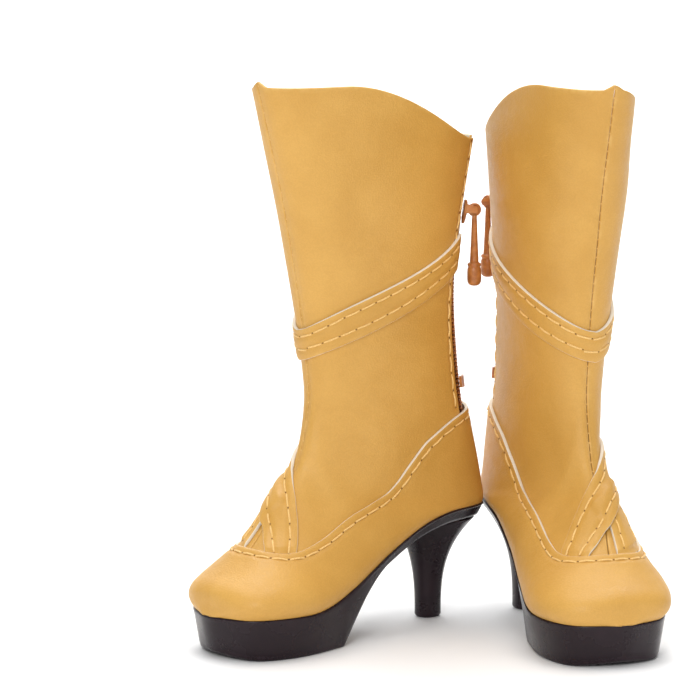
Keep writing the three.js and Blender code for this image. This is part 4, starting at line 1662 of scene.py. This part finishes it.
    def over_strap(self) -> None:
        """Makes the strap that crosses the instep on top."""
        grid = self._strap(self.over_upper, self.over_lower, self.over_at, (130, 22))
        stations, angles, along, across = grid
        tucked = np.minimum(ease((along + 0.03) / 0.07), ease((1.04 - along) / 0.06))
        under = self._strap(self.under_medial, self.under_lateral, self.under_at, (60, 26))
        gap = distance_to(SHAPE.surface(stations, angles),
                          SHAPE.surface(under[0], under[1])[:50].reshape(-1, 3))
        lift = self.hug * tucked + (SHAPE.leather + self.hug) * (1 - ease((gap - 0.25) / 1.5))
        thickness = mix(self.skived, SHAPE.leather, tucked)
        crown = self.over_crown * (1 - (2 * across - 1) ** 2) * tucked
        sheet = Sheet(stations, angles, lift, self.creases, (Edge.CUT,) * 4, thickness, crown=crown)
        rows = [sheet.row_along(Border.FIRST_ROW, 1.45).trimmed(1.5, 1.5),
                sheet.row_along(Border.LAST_ROW, 1.6).trimmed(1.5, 1.5)]
        self._finish("instep_strap_over", sheet, rows)

    def under_strap(self) -> None:
        """Makes the strap that crosses the instep below the other."""
        grid = self._strap(self.under_medial, self.under_lateral, self.under_at, (60, 26))
        stations, angles, along, across = grid
        tucked = ease((1.06 - along) / 0.1)
        thickness = mix(self.skived, SHAPE.leather, tucked)
        crown = self.under_crown * (1 - (2 * across - 1) ** 2) * tucked
        sheet = Sheet(stations, angles, self.hug * tucked, self.creases, (Edge.CUT,) * 4, thickness,
                      crown=crown)
        rows = [sheet.row_along(Border.FIRST_ROW, 1.5).trimmed(0.8, 1.8),
                sheet.row_along(Border.LAST_ROW, 1.5).trimmed(0.8, 1.8)]
        self._finish("instep_strap_under", sheet, rows)

    def stitching(self) -> None:
        """Sews every row: thread, dark dots of painted shade at the needle's punctures and the front
        seam's small turns.
        """
        side = self.stand.side
        seed = 5 if side is Side.RIGHT else 6
        jobs = (("stitches", self.repeats.stitches, self.rows, self.finishes.thread),
                ("needle_hole_shade_dots", self.repeats.hole_shade_dots, self.rows, self.finishes.hole_shade),
                ("seam_turns", self.repeats.seam_dots, self.seam_rows, self.finishes.thread))
        for name, tree, rows, finish in jobs:
            piece = tree.apply(f"{side.value}_{name}", self.stand, rows, finish, seed)
            settle(piece, f"{side.value}_boot")

    def build(self) -> None:
        """Makes every piece of the upper."""
        self.shaft_panel(1)
        self.shaft_panel(-1)
        self.seams()
        self.calf_strap()
        self.vamp()
        self.under_strap()
        self.over_strap()
        self.stitching()


# ---- sole and heel
@dataclass
class Bottom:
    """The moulded platform sole and heel of one boot."""

    stand: Stand
    finishes: Finishes
    shank: float = 2.7
    platform_back: float = 31.0
    break_length: float = 12.0
    spring: float = 1.4
    edge_round: float = 0.7
    top_round: float = 0.32
    top_reach: float = 0.95
    foot_reach: float = -0.35
    smoothing: float = 0.9
    outline_rise: float = 0.42
    tip_length: float = 5.0
    tip_width: float = 4.5
    tip_forward: float = 1.7
    top_back: float = -7.9
    top_front: float = 7.8
    top_half: float = 6.5
    joint: float = 0.12
    foot_round: float = 0.7
    foot_share: float = 0.04

    def shank_under(self, x: Array) -> Array:
        """Returns the height of the shank's underside at x."""
        return SHAPE.bed(x) - self.shank

    def tread(self, x: Array) -> Array:
        """Reads the sole's underside.

        Args:
            x: Millimetres from the heel.

        Returns:
            Heights, 0 on the ground.
        """
        reach = SHAPE.toe_reach
        spring = self.spring * np.maximum(0, (x - reach * 0.89) / (reach * 0.11)) ** 2
        start = self.platform_back - self.break_length
        depth = self.shank_under(np.float64(self.platform_back))
        drop = depth * np.maximum(0, (x - start) / self.break_length) ** 1.6
        under = np.maximum(self.shank_under(x) - drop, 0)
        return np.where(x >= self.platform_back, spring, under)

    def outline(self, count: int) -> tuple[Array, Array]:
        """Returns the line where the upper meets the sole, seen from above, from the heel round.

        Args:
            count: Points round it, an even number.

        Returns:
            The points and the outward directions.
        """
        rise = self.outline_rise
        station = SHAPE.feather_station(mix(0.004, 1, np.linspace(0, 1, 160)), rise)
        point = SHAPE.surface(station, SHAPE.feather_angle(station, rise))
        shift = SHAPE.values(station)[:, 8]
        inner, outer = point[:, :2], np.stack([point[:, 0], 2 * shift - point[:, 1]], 1)
        line = np.concatenate([inner, outer[::-1]])
        line = np.concatenate([line, line[:1]])
        along = lengths_along(line)
        at = np.linspace(0, along[-1], count, endpoint=False) - along[-1] / (4 * len(line))
        loop = read_at(at % along[-1], along, line)
        reach = int(self.smoothing / (along[-1] / count) * 3)
        shares = np.exp(-0.5 * (np.arange(-reach, reach + 1) * along[-1] / count
                                / self.smoothing) ** 2)
        loop = sum(w * np.roll(loop, k, 0) for w, k in
                   zip(shares / shares.sum(), range(-reach, reach + 1)))
        run = unit(np.roll(loop, -1, 0) - np.roll(loop, 1, 0))
        out = np.stack([run[:, 1], -run[:, 0]], 1)
        return loop, out * np.sign(((loop - loop.mean(0)) * out).sum())

    def sole(self) -> Draft:
        """Shapes the platform sole: rounded top edge, leaning side and rounded tread edge.

        Returns:
            The closed sole, with its rub attribute.
        """
        count, bend = 260, np.linspace(0, math.pi / 2, 7)
        loop, out = self.outline(count)
        levels = [(self.top_reach - self.top_round * (1 - math.cos(t)), 0.0,
                   -self.top_round * (1 - math.sin(t)), 0.35) for t in bend[::-1]]
        levels += [(mix(self.top_reach, self.foot_reach, t), t, 0.0, 0.0)
                   for t in np.linspace(0.12, 0.85, 8)]
        levels += [(self.foot_reach - self.edge_round * (1 - math.cos(t)), 1.0,
                    self.edge_round * (1 - math.sin(t)), 0.9) for t in bend]
        rings, worn = [], []
        for reach, depth, nudge, wear in levels:
            flat = loop + out * reach
            top, low = SHAPE.bed(flat[:, 0]), self.tread(flat[:, 0])
            soft = np.minimum(1.0, (top - low) / (3 * self.edge_round))
            rings.append(np.column_stack([flat, mix(top, low, depth) + nudge * soft]))
            worn.append(np.full(count, wear))
        points, rub = np.concatenate(rings), np.concatenate(worn)
        faces = [(i * count + k, i * count + (k + 1) % count, (i + 1) * count + (k + 1) % count,
                  (i + 1) * count + k) for i in range(len(rings) - 1) for k in range(count)]
        for start, height, turn in ((0, SHAPE.bed, 1), ((len(rings) - 1) * count, self.tread, -1)):
            extra, more = self._cap(points[start:start + count], start, len(points), height)
            faces += [face[::turn] for face in more]
            points = np.concatenate([points, extra])
            rub = np.concatenate([rub, np.full(len(extra), 0.3)])
        return Draft(points, faces, {"rub": rub})

    def _cap(self, ring: Array, first: int, spare: int,
             height: Field) -> tuple[Array, Faces]:
        """Closes the sole's top or underside with rows across it.

        Args:
            ring: The edge's points, from the heel round the toe and back.
            first: The index of the ring's first point.
            spare: The index that the first new point gets.
            height: The height of the surface at x.

        Returns:
            The new points and the faces.
        """
        count, steps = len(ring), 13
        shares = np.linspace(0, 1, steps + 1)[1:-1]
        extra, rows = [], [[first]]
        for i in range(1, count // 2):
            flat = mix(ring[i], ring[count - i], shares[:, None])
            flat[:, 2] = mix(height(flat[:, 0]), flat[:, 2], (2 * shares - 1) ** 8)
            own = range(spare + len(extra), spare + len(extra) + len(shares))
            rows.append([first + i, *own, first + count - i])
            extra += flat.tolist()
        rows.append([first + count // 2])
        faces: Faces = []
        for a, b in zip(rows[:-1], rows[1:]):
            for k in range(max(len(a), len(b)) - 1):
                if len(a) == 1:
                    faces.append((a[0], b[k + 1], b[k]))
                elif len(b) == 1:
                    faces.append((a[k], a[k + 1], b[0]))
                else:
                    faces.append((a[k], a[k + 1], b[k + 1], b[k]))
        return np.array(extra), faces

    def heel(self) -> Draft:
        """Shapes the heel: a rounded square column that flares to the seat.

        Returns:
            The closed heel, with its rub attribute.
        """
        foot = self.foot_share * (1 - np.cos(np.linspace(0, np.pi / 2, 8)))[:-1]
        levels = np.concatenate([foot, np.linspace(self.foot_share, 0.985, 52), [0.993, 1.0]])
        turns = circle(64)
        rings, worn = [], []
        for share in levels:
            spread = share**3
            length = mix(self.tip_length / 2, (self.top_front - self.top_back) / 2, spread)
            half = mix(self.tip_width / 2, self.top_half, spread)
            low = max(0.0, 1 - share / self.foot_share)
            tuck = self.foot_round * (1 - math.sqrt(1 - low**2))
            lip = 0.18 * max(0.0, (share - 0.985) / 0.015) ** 2
            centre = mix(self.tip_forward, (self.top_front + self.top_back) / 2, share**4)
            bend = [np.sign(f(turns)) * np.abs(f(turns)) ** 0.88 for f in (np.cos, np.sin)]
            x = centre + (length - tuck - lip) * bend[0]
            z = share * (self.shank_under(x) - self.joint)
            rings.append(np.stack([x, (half - tuck - lip) * bend[1], z], -1))
            worn.append(np.full(len(turns), max(0.0, 1 - share / 0.06)))
        return loft(np.array(rings), np.array(worn))

    def build(self) -> None:
        """Makes the sole and the heel."""
        side = self.stand.side.value
        for name, node, draft in (("sole_moulding", "platform_sole", self.sole()),
                                  ("heel_moulding", "heel_block", self.heel())):
            piece = draft.build(f"{side}_{name}", self.stand, self.finishes.sole)
            settle(piece, f"{side}_boot", f"{side}_{node}")


# ---- zip
@dataclass
class ZipFastener:
    """The back zip of one boot: tapes, teeth, slider and hanging pull."""

    stand: Stand
    finishes: Finishes
    repeats: Repeats
    tape_width: float = 4.2
    tape: float = 0.35
    tooth_width: float = 0.8
    tooth_height: float = 0.75
    top_margin: float = 0.12
    bottom: float = 6.12
    slider_height: float = 78.0
    slider_length: float = 4.6
    slider_base: float = 0.2
    slider_plate: float = 0.6
    pull_length: float = 14.5
    pull_radius: float = 1.35
    wire: float = 0.35
    bar_down: float = -0.6
    cheek: float = 0.45

    @property
    def layer(self) -> float:
        """Returns the height of the tape's underside over the leather's surface."""
        return -SHAPE.leather - SHAPE.clearance - self.tape

    @property
    def eye(self) -> float:
        """Returns the radius of the pull's eye."""
        return self.wire * 2 + 0.25

    @property
    def bar_height(self) -> float:
        """Returns the height of the slider's bar over the leather."""
        return self.slider_base + self.slider_plate + self.eye + self.wire + 0.25

    @property
    def slider_width(self) -> float:
        """Returns the slider's width, inside the zip's window."""
        return SHAPE.zip_window - 2 * SHAPE.clearance

    def _stations(self, count: int) -> Array:
        """Returns stations along the zip, from the rim down."""
        top = float(SHAPE.rim_station(np.array([160.0]))[0]) + self.top_margin
        return np.linspace(top, self.bottom, count)

    def tape_draft(self, side: int) -> Draft:
        """Shapes one tape.

        Args:
            side: +1 inner, -1 outer.

        Returns:
            The closed tape.
        """
        stations = self._stations(90)
        gap = SHAPE.clearance / 2
        across = np.linspace(gap, gap + self.tape_width, 12)
        angles = np.stack([SHAPE.beside_zip(stations, side, float(d)) for d in across], 1)
        grid = np.broadcast_to(stations[:, None], angles.shape)
        low = SHAPE.lifted(grid, angles, np.full(angles.shape, self.layer))
        high = SHAPE.lifted(grid, angles, np.full(angles.shape, self.layer + self.tape))
        return loft(np.concatenate([low, high[:, ::-1]], 1))

    def teeth_row(self, side: int) -> Row:
        """Lays the line that a tape's teeth follow.

        Args:
            side: +1 inner, -1 outer.

        Returns:
            The row, from the top down.
        """
        stations = self._stations(110) + side * 0.02
        angles = SHAPE.beside_zip(stations, side, SHAPE.clearance / 2 + self.tooth_width * 0.42)
        height = np.full(stations.shape, self.layer + self.tape + self.tooth_height * 0.42)
        return Row.on(stations, angles, height).trimmed(0.3 + 0.39 * (side > 0), 0.5)

    def _line_at(self, height: float) -> tuple[Array, Array]:
        """Finds the zip's line at a height.

        Args:
            height: Millimetres over the ground.

        Returns:
            The line's station and angle there.
        """
        def over(station: Array) -> Array:
            """Returns how far the line is above the height."""
            angle = SHAPE.angle_behind(station, SHAPE.zip_offset)
            return SHAPE.surface(station, angle)[..., 2] - height

        station = solve(over, np.array([0.2]), np.array([7.0]))
        return station, SHAPE.angle_behind(station, SHAPE.zip_offset)

    def frame_at(self, height: float) -> tuple[Array, Array]:
        """Finds how the zip lies at a height.

        Args:
            height: Millimetres over the ground.

        Returns:
            The axes across, out and down as columns, and the point.
        """
        station, angle = self._line_at(height)
        here, out = SHAPE.surface(station, angle)[0], SHAPE.normal(station, angle)[0]
        below = SHAPE.surface(*self._line_at(height - self.slider_length / 2))[0]
        above = SHAPE.surface(*self._line_at(height + self.slider_length / 2))[0]
        down = unit(below - above)
        across = unit(np.cross(out, down))
        out = unit(np.cross(down, across))
        return np.stack([across, out, down], 1), here

    def slider_draft(self) -> Draft:
        """Shapes the slider: a rounded, nosed plate with a low dome, two cheeks and a bar.

        Returns:
            The slider, about its own middle.
        """
        w, length = self.slider_width / 2, self.slider_length / 2
        turns = circle(48)
        c, s = np.cos(turns), np.sin(turns)
        x = w * np.sign(c) * np.abs(c) ** 0.55
        z = length * np.sign(s) * np.abs(s) ** 0.7
        x = x * (1 - 0.42 * ease((z / length - 0.1) / 0.9))
        base = self.slider_base
        top = base + self.slider_plate
        profile = [(0.80, base), (0.95, base + 0.05), (1.0, base + 0.16), (1.0, top - 0.22),
                   (0.94, top - 0.08), (0.80, top), (0.62, top + 0.10), (0.35, top + 0.17)]
        rings = [np.stack([x * k, np.full_like(x, h), z * k], -1) for k, h in profile]
        body = loft(np.array(rings))
        for side in (1, -1):
            body = body.joined(self._cheek(side))
        return body.joined(self._bar())

    def _cheek(self, side: int) -> Draft:
        """Shapes one rounded cheek of the slider.

        Args:
            side: +1 or -1 across the zip.

        Returns:
            The cheek.
        """
        w = self.slider_width / 2
        turns = circle(28)
        radius = self.wire * 2
        y = self.bar_height + radius * np.sin(turns)
        z = self.bar_down + radius * np.cos(turns)
        foot = self.slider_base + self.slider_plate * 0.5
        y = np.where(np.sin(turns) < -0.2, foot, y)
        z = np.where(np.sin(turns) < -0.2, self.bar_down + radius * 1.35 * np.cos(turns), z)
        steps = [(0.0, 0.75), (0.06, 0.93), (0.12, 1.0), (0.33, 1.0), (0.39, 0.93), (0.45, 0.75)]
        rings = []
        for across, k in steps:
            x = side * (w - self.cheek + across)
            mid_y, mid_z = (self.bar_height + foot) / 2, self.bar_down
            rings.append(np.stack([np.full_like(y, x), mid_y + (y - mid_y) * k,
                                   mid_z + (z - mid_z) * k], -1))
        return loft(np.array(rings))

    def _bar(self) -> Draft:
        """Shapes the slider's bar.

        Returns:
            The bar, a round rod between the cheeks.
        """
        turns = circle(20)
        half = (self.slider_width - self.cheek) / 2
        rings = [np.stack([np.full_like(turns, x), self.bar_height + self.wire * np.sin(turns),
                           self.bar_down + self.wire * np.cos(turns)], -1)
                 for x in np.linspace(-half, half, 5)]
        return loft(np.array(rings))

    def pull_draft(self) -> Draft:
        """Shapes the pull: an eye and a slender drop that widens to a collar and a cup.

        Returns:
            The pull, about the bar that it hangs on.
        """
        turns = circle(40)
        collar, tip = -self.pull_length * 0.7, -self.pull_length
        r = self.pull_radius
        profile = [(0.30, -self.eye + 0.1), (0.46, -self.eye - 0.15), (0.50, -self.eye - 0.9),
                   (0.62, collar * 0.5), (0.80, collar * 0.88), (0.86, collar + 0.12),
                   (1.12, collar + 0.02), (1.27, collar - 0.12), (1.30, collar - 0.42),
                   (1.20, collar - 0.60), (1.16, collar - 0.74), (1.20, collar - 0.90),
                   (1.30, collar - 1.15), (r, collar - 1.6), (r, tip + 1.3), (r * 0.96, tip + 0.75),
                   (r * 0.80, tip + 0.30), (r * 0.52, tip + 0.07), (r * 0.2, tip)]
        rings = [np.stack([radius * np.cos(turns), radius * np.sin(turns), np.full_like(turns, z)], -1)
                 for radius, z in profile]
        drop = loft(np.array(rings))
        big, small = 36, 16
        ring_turns, tube = circle(big), circle(small)
        radius = self.eye + self.wire * np.cos(tube)[None, :]
        points = np.stack([np.broadcast_to(self.wire * np.sin(tube)[None, :], (big, small)),
                           radius * np.cos(ring_turns)[:, None],
                           radius * np.sin(ring_turns)[:, None]], -1)
        faces = []
        for i in range(big):
            for j in range(small):
                k, n = (i + 1) % big, (j + 1) % small
                faces.append((i * small + j, i * small + n, k * small + n, k * small + j))
        eye = Draft(points.reshape(-1, 3), faces, {"rub": np.zeros(big * small)})
        if eye.volume() * drop.volume() < 0:
            eye.faces = [face[::-1] for face in eye.faces]
        return eye.joined(drop)

    def _placed(self, draft: Draft, axes: Array, origin: Array) -> Draft:
        """Returns a draft moved from its own axes onto the boot."""
        return Draft(draft.points @ axes.T + origin, draft.faces, draft.marks)

    def build(self) -> None:
        """Makes the tapes, the teeth, the slider and the pull."""
        side = self.stand.side.value
        for sign, name in ((1, "medial"), (-1, "lateral")):
            piece = self.tape_draft(sign).build(f"{side}_tape_{name}_cloth", self.stand,
                                                self.finishes.tape)
            settle(piece, f"{side}_boot", f"{side}_zip_tape_{name}")
        rows = [self.teeth_row(1), self.teeth_row(-1)]
        teeth = self.repeats.teeth.apply(f"{side}_zip_teeth", self.stand, rows,
                                         self.finishes.brown, 3)
        settle(teeth, f"{side}_boot")
        axes, origin = self.frame_at(self.slider_height)
        slider = self._placed(self.slider_draft(), axes, origin)
        piece = slider.build(f"{side}_slider_moulding", self.stand, self.finishes.brown)
        settle(piece, f"{side}_zip_slider_body", f"{side}_zip_slider")
        pivot = origin + axes @ np.array([0, self.bar_height, self.bar_down])
        flat = unit(axes[:, 0] * [1, 1, 0])
        hang = np.stack([flat, np.cross(flat, [0, 0, 1]), [0, 0, 1]], 1)
        pull = self._placed(self.pull_draft(), hang, pivot)
        piece = pull.build(f"{side}_pull_moulding", self.stand, self.finishes.brown)
        settle(piece, f"{side}_zip_pull_body", f"{side}_zip_pull")


# ---- kept CAD pieces
@dataclass
class Inside:
    """The hidden pieces that stay as the model has them and only get their finish."""

    side: Side
    finishes: Finishes

    def dress(self) -> None:
        """Gives each kept piece its finish."""
        finishes = {"insole_board": self.finishes.board, "sock_lining": self.finishes.sock,
                    "toe_puff": self.finishes.stiffener, "heel_counter": self.finishes.stiffener,
                    "zip_stop": self.finishes.brown}
        for name, finish in finishes.items():
            node = frame["nodes"][f"{self.side.value}_{name}"]
            node.data.materials.clear()
            node.data.materials.append(finish)
            LOG.info("%s: %s", node.name, finish.name)


# ---- studio
@dataclass(frozen=True)
class Studio:
    """Floor, lights and camera."""

    aim: tuple[float, float, float] = (-0.01486, 0.01495, 0.0513)
    distance: float = 0.9
    elevation: float = 9.1
    lens: float = 243.9

    def floor(self) -> None:
        """Lays a pale floor that sweeps up behind the boots."""
        front, half, depth, height, bend = -2.5, 3.0, 1.2, 1.6, 0.5
        line = [(front, 0.0)] + [(depth + bend * math.sin(t), bend * (1 - math.cos(t)))
                                for t in np.linspace(0, math.pi / 2, 14)] + [(depth + bend, height)]
        points, faces = [], []
        for y, z in line:
            points += [(-half, y, z), (half, y, z)]
        for k in range(len(line) - 1):
            faces.append((2 * k, 2 * k + 1, 2 * k + 3, 2 * k + 2))
        mesh = bpy.data.meshes.new("studio_floor")
        mesh.from_pydata(points, [], faces)
        mesh.polygons.foreach_set("use_smooth", [True] * len(mesh.polygons))
        mesh.materials.append(StudioFloor().make())
        add_object("studio_floor", mesh)

    def lamp(self, name: str, place: tuple[float, float, float], size: float,
             power: float, target: tuple[float, float, float] | None = None) -> None:
        """Adds a soft square lamp.

        Args:
            name: The lamp's name.
            place: Where it hangs, in metres.
            size: Its side, in metres.
            power: Watts.
            target: Where it shines, at the boots if left out.
        """
        data = bpy.data.lights.new(name, "AREA")
        data.size = size
        data.energy = power
        obj = add_object(name, data)
        obj.location = place
        toward = Vector(target or self.aim) - Vector(place)
        obj.rotation_euler = toward.to_track_quat("-Z", "Y").to_euler()

    def lights(self) -> None:
        """Lights the pair softly from the front, left and above, on a white surround."""
        self.lamp("key_light", (-0.22, -0.90, 0.50), 0.35, 4.1)
        self.lamp("fill_light", (0.65, -0.75, 0.30), 0.5, 0.8)
        self.lamp("top_light", (0.0, 0.1, 1.0), 0.7, 7.5)
        self.lamp("back_light", (0.0, 1.1, 1.3), 1.2, 22.0, (0.0, 1.6, 0.3))
        world = bpy.data.worlds.new("studio_surround")
        world.use_nodes = True
        background = world.node_tree.nodes["Background"]
        background.inputs["Color"].default_value = (1.0, 1.0, 1.0, 1.0)
        background.inputs["Strength"].default_value = 0.43
        bpy.context.scene.world = world

    def camera(self) -> None:
        """Sets the camera."""
        data = bpy.data.cameras.new("studio_camera")
        data.lens = self.lens
        data.clip_start, data.clip_end = 0.05, 20.0
        camera = add_object("studio_camera", data)
        tilt = math.radians(self.elevation)
        back = Vector((0.0, -math.cos(tilt), math.sin(tilt)))
        camera.location = Vector(self.aim) + back * self.distance
        camera.rotation_euler = (math.pi / 2 - tilt, 0.0, 0.0)
        bpy.context.scene.camera = camera

    def build(self) -> None:
        """Sets up the whole studio."""
        self.floor()
        self.lights()
        self.camera()
        bpy.context.scene.view_settings.view_transform = "Standard"


def main() -> None:
    """Builds the pair and the studio."""
    logging.basicConfig(level=logging.INFO, format="%(message)s")
    finishes = Finishes()
    Studio().build()
    # The second dot tree lays the dark dots of painted shade at the needle punctures.
    repeats = Repeats(stitch_tree(), dot_tree("needle_hole_shade_dots", 3.4 * MM, 0.16 * MM, 0.06 * MM),
                      dot_tree("seam_turns", 1.75 * MM, 0.15 * MM, 0.10 * MM), tooth_tree())
    for side in Side:
        stand = Stand(side)
        Upper(stand, finishes, repeats).build()
        Bottom(stand, finishes).build()
        ZipFastener(stand, finishes, repeats).build()
        Inside(side, finishes).dress()
        LOG.info("%s boot ready", side.value)


if __name__ == "__main__":
    main()
